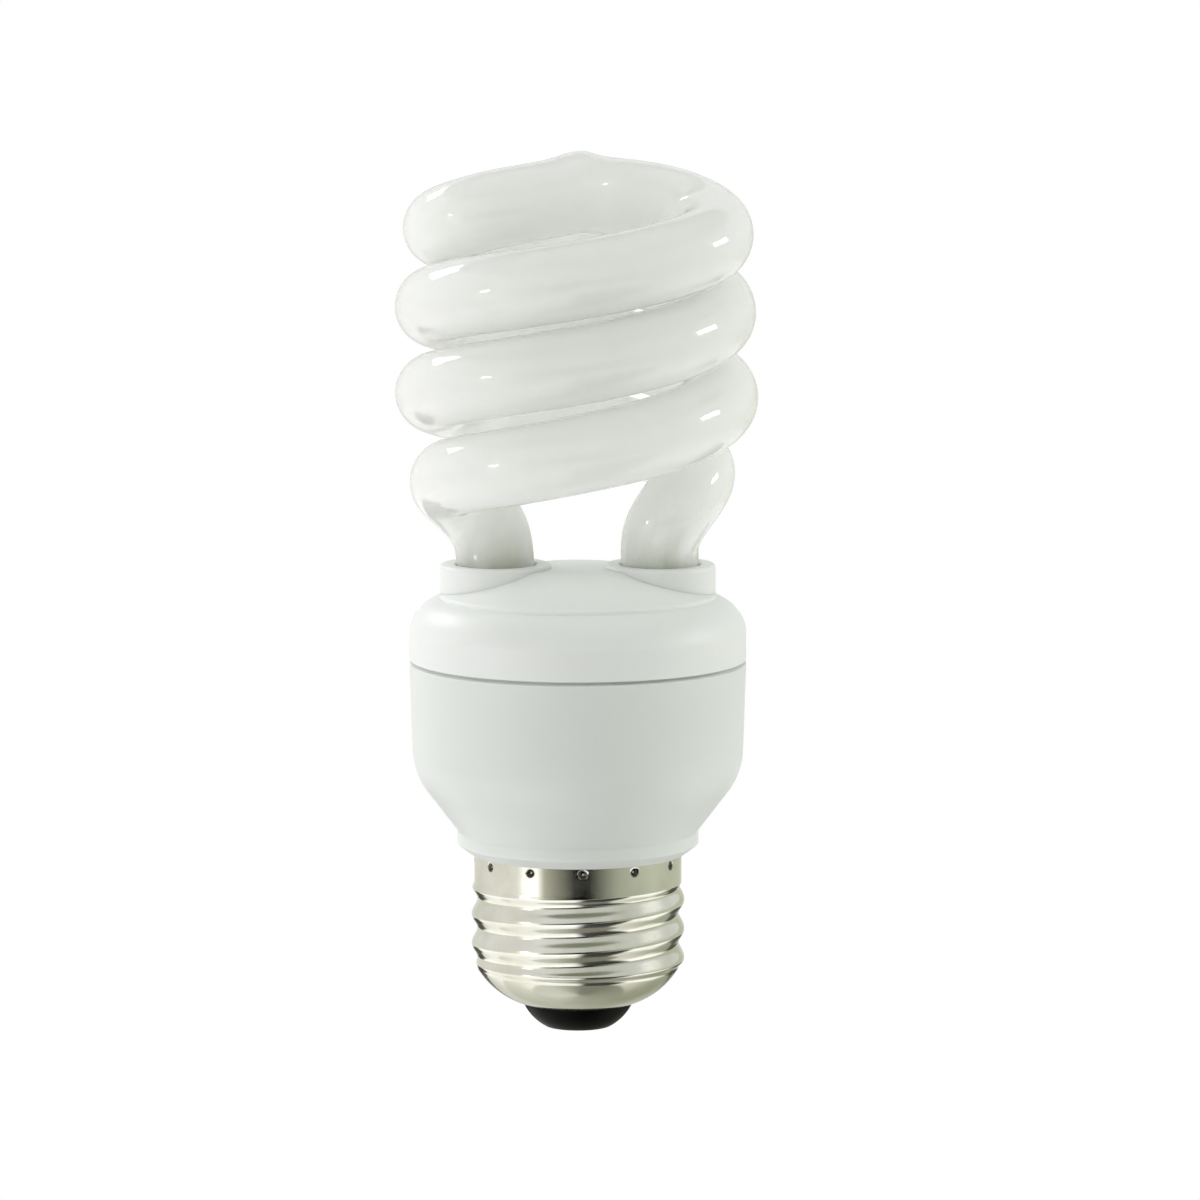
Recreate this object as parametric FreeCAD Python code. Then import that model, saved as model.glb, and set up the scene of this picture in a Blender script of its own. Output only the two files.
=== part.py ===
import FreeCAD, Part
import math
import os
from FreeCAD import Vector

# Spiral energy saving bulb: a double coil of glass tube on a white ballast housing with a screw base.
# Millimetres, Z up along the lamp's axis, X through both legs, the foot of the centre contact at Z = 0.

# Screw shell
THREAD_CREST_RADIUS = 13.025
THREAD_DEPTH = 0.69
THREAD_LENGTH = 10.8
SHELL_WALL = 0.3
SHELL_FOOT_Z = 3.3
SHELL_FOOT_RADIUS = 6.75
SHELL_SHOULDER_HEIGHT = 4.3
SHELL_SHOULDER_BULGE = (0.58, 0.38)
SHELL_BAND_HEIGHT = 3.5
PUNCH_COUNT = 12
PUNCH_FIRST_DEG = -87.0
PUNCH_BALL_RADIUS = 0.55
PUNCH_DEPTH = 0.2
PUNCH_DROP = 0.7

# Foot
INSULATOR_RIM_RADIUS = 4.0
INSULATOR_RIM_Z = 0.35
INSULATOR_TOP_Z = 6.3
INSULATOR_BULGE = (0.64, 0.47)
INSULATOR_BORE_RADIUS = 1.2
CONTACT_RADIUS = 3.5
CONTACT_THICKNESS = 0.4
CONTACT_EDGE_Z = 0.42
CONTACT_CENTRE_Z = 0.2
CONTACT_HOLE_RADIUS = 0.8
SOLDER_FLAT_RADIUS = 1.0
SOLDER_RADIUS = 1.7
SOLDER_BULGE = (0.55, 0.3)

# Ballast housing
HOUSING_WALL = 1.6
SPIGOT_LENGTH = 7.2
SPIGOT_CLEARANCE = 0.05
NECK_WALL = 1.585
RIM_LEDGE = 0.42
RIM_SPREAD = 1.65
RIM_CHAMFER_HEIGHT = 1.2
RIM_HEIGHT = 1.3
RIM_GROOVE = 0.25
CONE_TOP_RADIUS = 18.4
CONE_HEIGHT = 5.2
CURVE_HEIGHT = 4.9
CURVE_BULGE = (0.66, 0.42)
BODY_RADIUS = 20.55
BODY_DRAFT = 0.35
BODY_HEIGHT = 11.1
SEAM_CHAMFER = 0.25
RIB_COUNT = 4
RIB_WIDTH = 1.6
RIB_HEIGHT = 8.0
RIB_REACH = 1.3

# Tube holder
HOLDER_WALL = 1.6
SKIRT_WALL = 1.2
SKIRT_DEPTH = 3.3
SKIRT_CLEARANCE = 0.1
SNAP_DROP = 2.2
SNAP_HEIGHT = 0.3
HOLDER_RIM_HEIGHT = 4.0
SHOULDER_HEIGHT = 3.8
SHOULDER_BULGE = (0.24, 0.5)
SHOULDER_MARGIN = 0.1
STEP_HEIGHT = 0.5
ROOF_RISE = 3.1
ROOF_FLAT_RADIUS = 7.5
TURRET_RADIUS = 6.8
TURRET_STAND = 0.5
TURRET_CHAMFER = 0.35
TURRET_DEPTH = 8.5
SOCKET_LIP_HEIGHT = 1.3
SOCKET_CLEARANCE = 0.15
CEMENT_THICKNESS = 0.95
CEMENT_HEIGHT = 6.4
LUG_COUNT = 4
LUG_WIDTH_DEG = 10.0
LUG_REACH = 1.45
LUG_HEIGHT = 1.4

# Glass tube
TUBE_RADIUS = 4.75
TUBE_END_CHAMFER = 1.6
LEG_X = 10.0
LEG_STRAIGHT = 1.5
COIL_OUTER_RADIUS = 22.2
COIL_GAP = 0.85
COIL_LIFT = 10.0
COIL_TAPER = 2.25
COIL_HALF_TURNS = 3
COIL_STEP_DEG = 22.5
BRIDGE_RISE = 4.1
TIP_RADIUS = 3.5
TIP_LENGTH = 7.2
TIP_STAND = 0.85
TIP_SINK = 1.0

# Circuit board and what it carries
BOARD_EDGE_GAP = 0.45
BOARD_THICKNESS = 1.6
BOARD_DROP = 2.7
BOARD_CLEARANCE = 0.1
LEAD_RADIUS = 0.3
LEAD_TAIL = 0.7
LEAD_HOLE_CLEARANCE = 0.1
COMPONENT_STAND = 0.2
COMPONENT_CHAMFER = 0.4
LEAD_SEAT = 1.0

CAPACITOR_XY = (0.0, -2.0)
CAPACITOR_RADIUS = 4.85
CAPACITOR_LENGTH = 20.0
CAPACITOR_SLEEVE = 0.15
CAPACITOR_FOLD_RADIUS = 3.4
CAPACITOR_BEAD_DROP = 3.0
CAPACITOR_BEAD_DEPTH = 0.4
CAPACITOR_BUNG_RADIUS = 4.45
CAPACITOR_BUNG_DEPTH = 2.0
CAPACITOR_LEAD_SPACING = 5.0

CHOKE_XY = (0.0, 8.6)
CHOKE_WIDTH = 16.0
CHOKE_HEIGHT = 12.0
CHOKE_DEPTH = 4.8
CHOKE_CENTRE_LEG = 4.0
CHOKE_SIDE_LEG = 2.2
CHOKE_AIR_GAP = 0.1
BOBBIN_WALL = 0.6
BOBBIN_CLEARANCE = 0.1
BOBBIN_HALF_DEPTH = 4.6
WINDING_INSET = 0.35
WINDING_CHAMFER = 1.0
CHOKE_PIN_SPACING = 8.0

TOROID_XY = (-10.8, -4.8)
TOROID_RADIUS = 4.6
TOROID_HOLE_RADIUS = 2.4
TOROID_HEIGHT = 3.8
TOROID_WIRE = 0.45
TOROID_WINDING_DEG = 60.0
TOROID_LEAD_DEG = 20.0
TOROID_WINDINGS = 3

TRANSISTOR_XY = ((10.6, -7.4), (5.6, -11.2))
TRANSISTOR_RADIUS = 2.35
TRANSISTOR_HEIGHT = 4.6
TRANSISTOR_FLAT = 1.35
TRANSISTOR_DROP = 2.0
TRANSISTOR_PITCH = 1.27

AXIAL_DROP = 2.1
AXIAL_CHAMFER = 0.3
DIODE_FIRST_X = 6.95
DIODE_PITCH = 2.85
DIODE_Y = 0.0
DIODE_RADIUS = 1.3
DIODE_LENGTH = 4.6
DIODE_SPAN = 6.4
DIODE_COUNT = 4

DIAC_XY = (0.0, -12.5)
DIAC_RADIUS = 0.9
DIAC_LENGTH = 3.4
DIAC_SPAN = 5.2
FUSE_XY = (0.0, -15.0)
FUSE_RADIUS = 1.15
FUSE_LENGTH = 5.0
FUSE_SPAN = 7.2
START_RESISTOR_XY = ((-6.0, -12.7), (-5.8, -10.0))
START_RESISTOR_RADIUS = 0.95
START_RESISTOR_LENGTH = 3.2
START_RESISTOR_SPAN = 4.8

FILM_CAPACITOR_WIDTH = 5.2
FILM_CAPACITOR_DEPTH = 3.4
FILM_CAPACITOR_LEAD_SPAN = 3.6
RESONANT_CAPACITOR_XY = (11.3, 8.5)
RESONANT_CAPACITOR_HEIGHT = 7.5
COUPLING_CAPACITOR_XY = (-11.3, 8.5)
COUPLING_CAPACITOR_HEIGHT = 6.5

INDUCTOR_XY = (-10.4, 3.7)
INDUCTOR_RADIUS = 2.6
INDUCTOR_HEIGHT = 7.5
INDUCTOR_LEAD_SPACING = 2.5

WRAP_PIN_WIDTH = 0.8
WRAP_PIN_Y = 5.8
WRAP_PIN_STAND = 3.4
ELECTRODE_LEAD_RADIUS = 0.2
ELECTRODE_LEAD_Y = 1.2
ELECTRODE_LEAD_DROP = 1.6

LIVE_LEAD_DEG = -73.0
NEUTRAL_LEAD_DEG = -107.0
SUPPLY_LEAD_RADIUS = 0.5
LIVE_LEAD_DROP = 2.4
LIVE_LEAD_RISE = 9.0
NEUTRAL_LEAD_DROP = 2.0
NEUTRAL_END_GAP = 0.3

# Slack for picking out edges and for a run with no length
NEAR = 0.01
TOUCH = 0.001

# Places that follow from the sizes
BAND_RADIUS = THREAD_CREST_RADIUS - THREAD_DEPTH / 2
THREAD_LOW_Z = SHELL_FOOT_Z + SHELL_SHOULDER_HEIGHT
BAND_LOW_Z = THREAD_LOW_Z + THREAD_LENGTH
SHELL_TOP_Z = BAND_LOW_Z + SHELL_BAND_HEIGHT
THREAD_ROOT_RADIUS = THREAD_CREST_RADIUS - THREAD_DEPTH
BAND_BORE_RADIUS = BAND_RADIUS - SHELL_WALL
THREAD_BORE_RADIUS = THREAD_ROOT_RADIUS - SHELL_WALL
NECK_BORE_RADIUS = THREAD_BORE_RADIUS - SPIGOT_CLEARANCE - NECK_WALL
RIM_INNER_RADIUS = BAND_RADIUS + RIM_LEDGE
RIM_RADIUS = RIM_INNER_RADIUS + RIM_SPREAD
CURVE_TOP_RADIUS = BODY_RADIUS - BODY_DRAFT
RIM_LOW_Z = SHELL_TOP_Z + RIM_CHAMFER_HEIGHT
RIM_TOP_Z = RIM_LOW_Z + RIM_HEIGHT
CONE_TOP_Z = RIM_TOP_Z + CONE_HEIGHT
CURVE_TOP_Z = CONE_TOP_Z + CURVE_HEIGHT
SEAM_Z = CURVE_TOP_Z + BODY_HEIGHT
SPIGOT_LOW_Z = SHELL_TOP_Z - SPIGOT_LENGTH
HOUSING_BORE_RADIUS = BODY_RADIUS - HOUSING_WALL
SKIRT_RADIUS = HOUSING_BORE_RADIUS - SKIRT_CLEARANCE
SKIRT_BORE_RADIUS = SKIRT_RADIUS - SKIRT_WALL
BOARD_RADIUS = SKIRT_BORE_RADIUS - BOARD_EDGE_GAP
SHOULDER_STEP_RADIUS = LEG_X + TURRET_RADIUS + SHOULDER_MARGIN
SHOULDER_LOW_Z = SEAM_Z + HOLDER_RIM_HEIGHT
SHOULDER_TOP_Z = SHOULDER_LOW_Z + SHOULDER_HEIGHT
STEP_TOP_Z = SHOULDER_TOP_Z + STEP_HEIGHT
ROOF_TOP_Z = STEP_TOP_Z + ROOF_RISE
TURRET_TOP_Z = ROOF_TOP_Z + TURRET_STAND
SOCKET_LOW_Z = TURRET_TOP_Z - TURRET_DEPTH
SOCKET_LIP_Z = TURRET_TOP_Z - SOCKET_LIP_HEIGHT
CEMENT_RADIUS = TUBE_RADIUS + CEMENT_THICKNESS
COIL_RADIUS = COIL_OUTER_RADIUS - TUBE_RADIUS
COIL_LOW_Z = TURRET_TOP_Z + COIL_LIFT
COIL_HALF_PITCH = 2 * TUBE_RADIUS + COIL_GAP
COIL_TOP_Z = COIL_LOW_Z + COIL_HALF_TURNS * COIL_HALF_PITCH
BOARD_LOW_Z = SEAM_Z - BOARD_DROP
BOARD_TOP_Z = BOARD_LOW_Z + BOARD_THICKNESS
LEAD_TOP_Z = BOARD_TOP_Z + LEAD_TAIL
WRAP_PIN_TOP_Z = BOARD_TOP_Z + WRAP_PIN_STAND


def cylinder(radius, low, high, x=0.0, y=0.0):
    return Part.makeCylinder(radius, high - low, Vector(x, y, low))


def ring(outer, inner, low, high, x=0.0, y=0.0):
    return cylinder(outer, low, high, x, y).cut(cylinder(inner, low, high, x, y))


def block(width, depth, low, high, x=0.0, y=0.0):
    corner = Vector(x - width / 2, y - depth / 2, low)
    return Part.makeBox(width, depth, high - low, corner)


def turned(start, *steps):
    """Solid turned about the axis. A step is the next point (r, z), or (middle, end) for an arc."""
    edges = []
    here = Vector(start[0], 0, start[1])
    first = here
    for step in steps:
        if isinstance(step[0], tuple):
            middle = Vector(step[0][0], 0, step[0][1])
            there = Vector(step[1][0], 0, step[1][1])
            edges.append(Part.Arc(here, middle, there).toShape())
        else:
            there = Vector(step[0], 0, step[1])
            edges.append(Part.makeLine(here, there))
        here = there
    edges.append(Part.makeLine(here, first))
    return Part.Face(Part.Wire(edges)).revolve(Vector(0, 0, 0), Vector(0, 0, 1), 360)


def arc_middle(start, end, bulge):
    """Middle point of an arc between two (r, z) points, as shares of the way in r and in z."""
    r = start[0] + bulge[0] * (end[0] - start[0])
    return (r, start[1] + bulge[1] * (end[1] - start[1]))


def turned_copies(shape, count, first_deg=0.0):
    copies = []
    for i in range(count):
        copy = shape.copy()
        copy.rotate(Vector(0, 0, 0), Vector(0, 0, 1), first_deg + i * 360.0 / count)
        copies.append(copy)
    return copies


def joined(shapes):
    return shapes[0].fuse(shapes[1:]).removeSplitter()


def path_of_runs(poles, end_reach):
    """Wire of straight runs with a tangent arc at each inner pole, up to half of each run long.

    The arcs use no more than end_reach of the first and the last run.
    """
    edges = []
    here = poles[0]
    for i in range(1, len(poles) - 1):
        before = poles[i] - poles[i - 1]
        after = poles[i + 1] - poles[i]
        room_before = end_reach if i == 1 else before.Length / 2
        room_after = end_reach if i == len(poles) - 2 else after.Length / 2
        turn = before.getAngle(after)
        reach = min(room_before, room_after)
        before.normalize()
        after.normalize()
        radius = reach / math.tan(turn / 2)
        inward = (after - before).normalize()
        arc_start = poles[i] - before * reach
        arc_middle_point = poles[i] + inward * (radius / math.cos(turn / 2) - radius)
        arc_end = poles[i] + after * reach
        if (arc_start - here).Length > TOUCH:
            edges.append(Part.makeLine(here, arc_start))
        edges.append(Part.Arc(arc_start, arc_middle_point, arc_end).toShape())
        here = arc_end
    edges.append(Part.makeLine(here, poles[-1]))
    return Part.Wire(edges)


def bent_lead(points, radius):
    """Round wire along straight runs, mitred at the corners."""
    poles = [Vector(*point) for point in points]
    section = Part.Wire([Part.makeCircle(radius, poles[0], poles[1] - poles[0])])
    return Part.makePolygon(poles).makePipeShell([section], True, False, 1)


# Glass tube


def coil_pole(degrees):
    """Pole of the coil's path. Its arcs touch the runs' middles, so the poles stand out by 1/cos(half step)."""
    rise = degrees / 180.0
    taper = COIL_TAPER * (1 - min(rise, 1.0)) ** 2
    radius = (COIL_RADIUS - taper) / math.cos(math.radians(COIL_STEP_DEG / 2))
    angle = math.radians(degrees)
    return Vector(
        radius * math.cos(angle),
        radius * math.sin(angle),
        COIL_LOW_Z + COIL_HALF_PITCH * rise,
    )


def strand_poles():
    """Poles of one strand: its leg, the bend into the coil, the coil, and the way to the top's middle."""
    widening = COIL_RADIUS - LEG_X
    bend = (
        (0.188, -0.305, 0.595),
        (0.55, 0.147, 0.97),
        (0.752, 1.23, 1.09),
    )
    bridge = (
        (-0.946, 0.521, -0.24),
        (-0.934, -0.138, 0.1),
        (-0.51, -0.327, 0.65),
    )
    poles = [Vector(LEG_X, 0, SOCKET_LOW_Z)]
    poles.append(Vector(LEG_X, 0, TURRET_TOP_Z + LEG_STRAIGHT))
    for out, along, up in bend:
        poles.append(Vector(LEG_X + out * widening, along * TUBE_RADIUS, TURRET_TOP_Z + up * COIL_LIFT))
    steps = round((180 * COIL_HALF_TURNS - 90) / COIL_STEP_DEG)
    for i in range(steps + 1):
        poles.append(coil_pole(45 + i * COIL_STEP_DEG))
    side = -1 if COIL_HALF_TURNS % 2 == 0 else 1
    for x, y, up in bridge:
        poles.append(Vector(side * x * COIL_RADIUS, side * y * COIL_RADIUS, COIL_TOP_Z + up * BRIDGE_RISE))
    return poles


def tube_tip(crest_z, last_pole):
    """Soft swelling on the crest: a barrel turned about a line along the tube, sunk in it up to its crown."""
    end = TIP_RADIUS - TIP_SINK
    half = TIP_LENGTH / 2
    crown = Part.Arc(Vector(-half, 0, end), Vector(0, 0, TIP_RADIUS), Vector(half, 0, end)).toShape()
    corners = [Vector(half, 0, end), Vector(half, 0, 0), Vector(-half, 0, 0), Vector(-half, 0, end)]
    section = Part.Face(Part.Wire([crown] + Part.makePolygon(corners).Edges))
    barrel = section.revolve(Vector(0, 0, 0), Vector(1, 0, 0), 360)
    barrel.rotate(Vector(0, 0, 0), Vector(0, 0, 1), math.degrees(math.atan2(last_pole.y, last_pole.x)))
    barrel.translate(Vector(0, 0, crest_z + TIP_STAND - TIP_RADIUS))
    return barrel


def spiral_tube():
    """One closed tube: a strand up, over the top's middle, and the same strand turned by half a turn down."""
    up = strand_poles()
    down = [Vector(-pole.x, -pole.y, pole.z) for pole in reversed(up)]
    middle = Vector(0, 0, COIL_TOP_Z + BRIDGE_RISE)
    path = path_of_runs(up + [middle] + down, LEG_STRAIGHT)
    section = Part.Wire([Part.makeCircle(TUBE_RADIUS, up[0], Vector(0, 0, 1))])
    tube = path.makePipeShell([section], True, False)
    foot_edges = [edge for edge in tube.Edges if edge.BoundBox.ZMax < SOCKET_LOW_Z + NEAR]
    tube = tube.makeChamfer(TUBE_END_CHAMFER, foot_edges)
    crest_z = path.BoundBox.ZMax + TUBE_RADIUS
    return tube.fuse(tube_tip(crest_z, up[-1]))


# Screw base


def shoulder_inside():
    """Inner corners of the shell's lower shoulder, from the foot's opening to the thread's bore."""
    foot = (SHELL_FOOT_RADIUS, SHELL_FOOT_Z + SHELL_WALL)
    top = (THREAD_BORE_RADIUS, THREAD_LOW_Z)
    return [foot, arc_middle(foot, top, SHELL_SHOULDER_BULGE), top]


def punch_balls():
    centre = BAND_RADIUS - PUNCH_DEPTH + PUNCH_BALL_RADIUS
    ball = Part.makeSphere(PUNCH_BALL_RADIUS, Vector(centre, 0, SHELL_TOP_Z - PUNCH_DROP))
    return turned_copies(ball, PUNCH_COUNT, PUNCH_FIRST_DEG)


def screw_shell():
    """Drawn shell with its thread's depth as plain wall between the shoulder and the punched band."""
    foot = (SHELL_FOOT_RADIUS, SHELL_FOOT_Z)
    shoulder_top = (THREAD_ROOT_RADIUS, THREAD_LOW_Z)
    half_depth = THREAD_DEPTH / 2
    shell = turned(
        foot,
        (arc_middle(foot, shoulder_top, SHELL_SHOULDER_BULGE), shoulder_top),
        (THREAD_CREST_RADIUS, THREAD_LOW_Z + THREAD_DEPTH),
        (THREAD_CREST_RADIUS, BAND_LOW_Z - half_depth),
        (BAND_RADIUS, BAND_LOW_Z),
        (BAND_RADIUS, SHELL_TOP_Z),
        (BAND_BORE_RADIUS, SHELL_TOP_Z),
        (BAND_BORE_RADIUS, BAND_LOW_Z),
        (THREAD_BORE_RADIUS, BAND_LOW_Z),
        *reversed(shoulder_inside()),
    )
    return shell.cut(punch_balls())


def base_insulator():
    """Black glass foot: a bowl below the shell, and a plug that fills the shell's shoulder."""
    rim = (INSULATOR_RIM_RADIUS, INSULATOR_RIM_Z)
    mouth = (SHELL_FOOT_RADIUS, SHELL_FOOT_Z)
    shelf_z = SHELL_FOOT_Z + SHELL_WALL
    seat_centre = CONTACT_CENTRE_Z + CONTACT_THICKNESS
    seat_edge = CONTACT_EDGE_Z + CONTACT_THICKNESS
    bowl = turned(
        (0, seat_centre),
        (CONTACT_HOLE_RADIUS, seat_centre),
        (CONTACT_RADIUS, seat_edge),
        (CONTACT_RADIUS, INSULATOR_RIM_Z),
        rim,
        (arc_middle(rim, mouth, INSULATOR_BULGE), mouth),
        (SHELL_FOOT_RADIUS, shelf_z),
        (0, shelf_z),
    )
    plug = turned((0, shelf_z), *shoulder_inside(), (0, THREAD_LOW_Z))
    plug = plug.common(cylinder(THREAD_CREST_RADIUS, shelf_z, INSULATOR_TOP_Z))
    bore = cylinder(INSULATOR_BORE_RADIUS, 0, INSULATOR_TOP_Z)
    return joined([bowl, plug]).cut(bore)


def centre_contact():
    inner = CONTACT_HOLE_RADIUS
    return turned(
        (inner, CONTACT_CENTRE_Z),
        (CONTACT_RADIUS, CONTACT_EDGE_Z),
        (CONTACT_RADIUS, CONTACT_EDGE_Z + CONTACT_THICKNESS),
        (inner, CONTACT_CENTRE_Z + CONTACT_THICKNESS),
    )


def contact_solder():
    """Drop of solder that fills the contact's hole, flattened at the foot."""
    slope = (CONTACT_EDGE_Z - CONTACT_CENTRE_Z) / (CONTACT_RADIUS - CONTACT_HOLE_RADIUS)
    edge_z = CONTACT_CENTRE_Z + slope * (SOLDER_RADIUS - CONTACT_HOLE_RADIUS)
    top = CONTACT_CENTRE_Z + CONTACT_THICKNESS
    flat = (SOLDER_FLAT_RADIUS, 0)
    edge = (SOLDER_RADIUS, edge_z)
    return turned(
        (0, 0),
        flat,
        (arc_middle(flat, edge, SOLDER_BULGE), edge),
        (CONTACT_HOLE_RADIUS, CONTACT_CENTRE_Z),
        (CONTACT_HOLE_RADIUS, top),
        (0, top),
    )


# Housing and tube holder


def housing_outside():
    """Turned outline of the housing: spigot, rim, cone, curved flank and body."""
    band = BAND_BORE_RADIUS - SPIGOT_CLEARANCE
    thread = THREAD_BORE_RADIUS - SPIGOT_CLEARANCE
    groove_r = RIM_RADIUS - RIM_GROOVE
    groove_top = RIM_TOP_Z + RIM_GROOVE
    cone_top = (CONE_TOP_RADIUS, CONE_TOP_Z)
    curve_top = (CURVE_TOP_RADIUS, CURVE_TOP_Z)
    return turned(
        (0, SPIGOT_LOW_Z),
        (thread, SPIGOT_LOW_Z),
        (thread, BAND_LOW_Z),
        (band, BAND_LOW_Z + SPIGOT_CLEARANCE),
        (band, SHELL_TOP_Z),
        (RIM_INNER_RADIUS, SHELL_TOP_Z),
        (RIM_RADIUS, RIM_LOW_Z),
        (RIM_RADIUS, RIM_TOP_Z),
        (groove_r, RIM_TOP_Z),
        (groove_r, groove_top),
        (RIM_RADIUS, groove_top),
        cone_top,
        (arc_middle(cone_top, curve_top, CURVE_BULGE), curve_top),
        (BODY_RADIUS, SEAM_Z - SEAM_CHAMFER),
        (BODY_RADIUS - SEAM_CHAMFER, SEAM_Z),
        (0, SEAM_Z),
    )


def housing_inside():
    """Turned hollow of the housing: neck bore, cone, flank, and the seat of the holder's skirt."""
    cone_low = RIM_TOP_Z + HOUSING_WALL / 2
    seat_low = SEAM_Z - SKIRT_DEPTH - SKIRT_CLEARANCE
    return turned(
        (0, SPIGOT_LOW_Z),
        (NECK_BORE_RADIUS, SPIGOT_LOW_Z),
        (NECK_BORE_RADIUS, RIM_TOP_Z - HOUSING_WALL / 2),
        (RIM_RADIUS - HOUSING_WALL, cone_low),
        (CONE_TOP_RADIUS - HOUSING_WALL, CONE_TOP_Z),
        (CURVE_TOP_RADIUS - HOUSING_WALL, CURVE_TOP_Z),
        (CURVE_TOP_RADIUS - HOUSING_WALL, seat_low),
        (HOUSING_BORE_RADIUS, seat_low),
        (HOUSING_BORE_RADIUS, SEAM_Z),
        (0, SEAM_Z),
    )


def board_rib():
    """Rib on the housing's wall at +X: a post under the board's edge, and a foot that clears the skirt."""
    wall = CURVE_TOP_RADIUS - HOUSING_WALL / 2
    post_low = BOARD_LOW_Z - RIB_HEIGHT
    post_out = SKIRT_BORE_RADIUS - SKIRT_CLEARANCE
    post_in = BOARD_RADIUS - RIB_REACH
    web_top = SEAM_Z - SKIRT_DEPTH - 3 * SKIRT_CLEARANCE
    post = block(post_out - post_in, RIB_WIDTH, post_low, BOARD_LOW_Z, (post_in + post_out) / 2)
    web = block(wall - post_in, RIB_WIDTH, post_low, web_top, (post_in + wall) / 2)
    return joined([post, web])


def snap_ridge(height):
    """Ridge round the holder's skirt, with flanks at 45 degrees."""
    middle = SEAM_Z - SNAP_DROP
    inner = SKIRT_RADIUS - SKIRT_WALL / 2
    return turned(
        (inner, middle - height),
        (SKIRT_RADIUS, middle - height),
        (SKIRT_RADIUS + height, middle),
        (SKIRT_RADIUS, middle + height),
        (inner, middle + height),
    )


def ballast_housing():
    shell = housing_outside().cut(housing_inside())
    shell = shell.cut(snap_ridge(SNAP_HEIGHT + SKIRT_CLEARANCE))
    return shell.fuse(turned_copies(board_rib(), RIB_COUNT, 45.0))


def holder_outside():
    shoulder_low = (BODY_RADIUS, SHOULDER_LOW_Z)
    shoulder_top = (SHOULDER_STEP_RADIUS, SHOULDER_TOP_Z)
    return turned(
        (0, SEAM_Z - SKIRT_DEPTH),
        (SKIRT_RADIUS, SEAM_Z - SKIRT_DEPTH),
        (SKIRT_RADIUS, SEAM_Z),
        (BODY_RADIUS - SEAM_CHAMFER, SEAM_Z),
        (BODY_RADIUS, SEAM_Z + SEAM_CHAMFER),
        shoulder_low,
        (arc_middle(shoulder_low, shoulder_top, SHOULDER_BULGE), shoulder_top),
        (SHOULDER_STEP_RADIUS, STEP_TOP_Z),
        (ROOF_FLAT_RADIUS, ROOF_TOP_Z),
        (0, ROOF_TOP_Z),
    )


def holder_inside():
    wall = HOLDER_WALL
    rim_r = BODY_RADIUS - wall
    return turned(
        (0, SEAM_Z - SKIRT_DEPTH),
        (SKIRT_BORE_RADIUS, SEAM_Z - SKIRT_DEPTH),
        (SKIRT_BORE_RADIUS, SEAM_Z + wall / 2),
        (rim_r, SEAM_Z + wall),
        (rim_r, SHOULDER_LOW_Z - wall / 2),
        (SHOULDER_STEP_RADIUS - wall, SHOULDER_TOP_Z - wall / 2),
        (ROOF_FLAT_RADIUS - wall / 2, ROOF_TOP_Z - wall),
        (0, ROOF_TOP_Z - wall),
    )


def leg_socket(x):
    """Outside of one leg socket: a turret with a chamfered top edge."""
    turret = cylinder(TURRET_RADIUS, SOCKET_LOW_Z, TURRET_TOP_Z, x)
    top_edges = [edge for edge in turret.Edges if edge.BoundBox.ZMin > TURRET_TOP_Z - NEAR]
    return turret.makeChamfer(TURRET_CHAMFER, top_edges)


def socket_bores(x):
    lip = cylinder(TUBE_RADIUS + SOCKET_CLEARANCE, SOCKET_LIP_Z, TURRET_TOP_Z, x)
    well = cylinder(CEMENT_RADIUS, SOCKET_LOW_Z, SOCKET_LIP_Z, x)
    return [lip, well]


def board_lug():
    """Lug under the holder's rim at +X that keeps the board down."""
    low = BOARD_TOP_Z + BOARD_CLEARANCE
    out = SKIRT_BORE_RADIUS + SKIRT_WALL / 2
    sector = ring(out, SKIRT_BORE_RADIUS - LUG_REACH, low, low + LUG_HEIGHT)
    width = 2 * out * math.tan(math.radians(LUG_WIDTH_DEG / 2))
    return sector.common(block(out, width, low, low + LUG_HEIGHT, out / 2))


def tube_holder():
    shell = holder_outside().cut(holder_inside())
    shell = shell.fuse([snap_ridge(SNAP_HEIGHT), leg_socket(LEG_X), leg_socket(-LEG_X)])
    shell = shell.fuse(turned_copies(board_lug(), LUG_COUNT))
    return shell.cut(socket_bores(LEG_X) + socket_bores(-LEG_X))


def leg_cement(x):
    return ring(CEMENT_RADIUS, TUBE_RADIUS, SOCKET_LIP_Z - CEMENT_HEIGHT, SOCKET_LIP_Z, x)


# Circuit board


def lead(x, y, low):
    return cylinder(LEAD_RADIUS, low, LEAD_TOP_Z, x, y)


def supply_lead_place(degrees):
    """Place halfway between the capacitor's side and the neck's bore."""
    reach = math.hypot(*CAPACITOR_XY) + CAPACITOR_RADIUS + CAPACITOR_SLEEVE
    radius = (reach + NECK_BORE_RADIUS) / 2
    angle = math.radians(degrees)
    return (radius * math.cos(angle), radius * math.sin(angle))


def spaced(xy, spacing):
    return [(xy[0] - spacing / 2, xy[1]), (xy[0] + spacing / 2, xy[1])]


def choke_pin_places():
    x, y = CHOKE_XY
    rail = (CHOKE_DEPTH / 2 + BOBBIN_HALF_DEPTH) / 2
    half = CHOKE_PIN_SPACING / 2
    return [(x + side * half, y + face * rail) for side in (-1, 1) for face in (-1, 1)]


def toroid_lead_places():
    """Two lead places for each winding, over the core's outer edge."""
    places = []
    radius = TOROID_RADIUS - TOROID_WIRE
    for i in range(TOROID_WINDINGS):
        for side in (-1, 1):
            angle = math.radians(i * 360 / TOROID_WINDINGS + side * TOROID_LEAD_DEG)
            places.append(
                (TOROID_XY[0] + radius * math.cos(angle), TOROID_XY[1] + radius * math.sin(angle))
            )
    return places


def transistor_lead_places(xy):
    return [(xy[0] + i * TRANSISTOR_PITCH, xy[1]) for i in (-1, 0, 1)]


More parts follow.
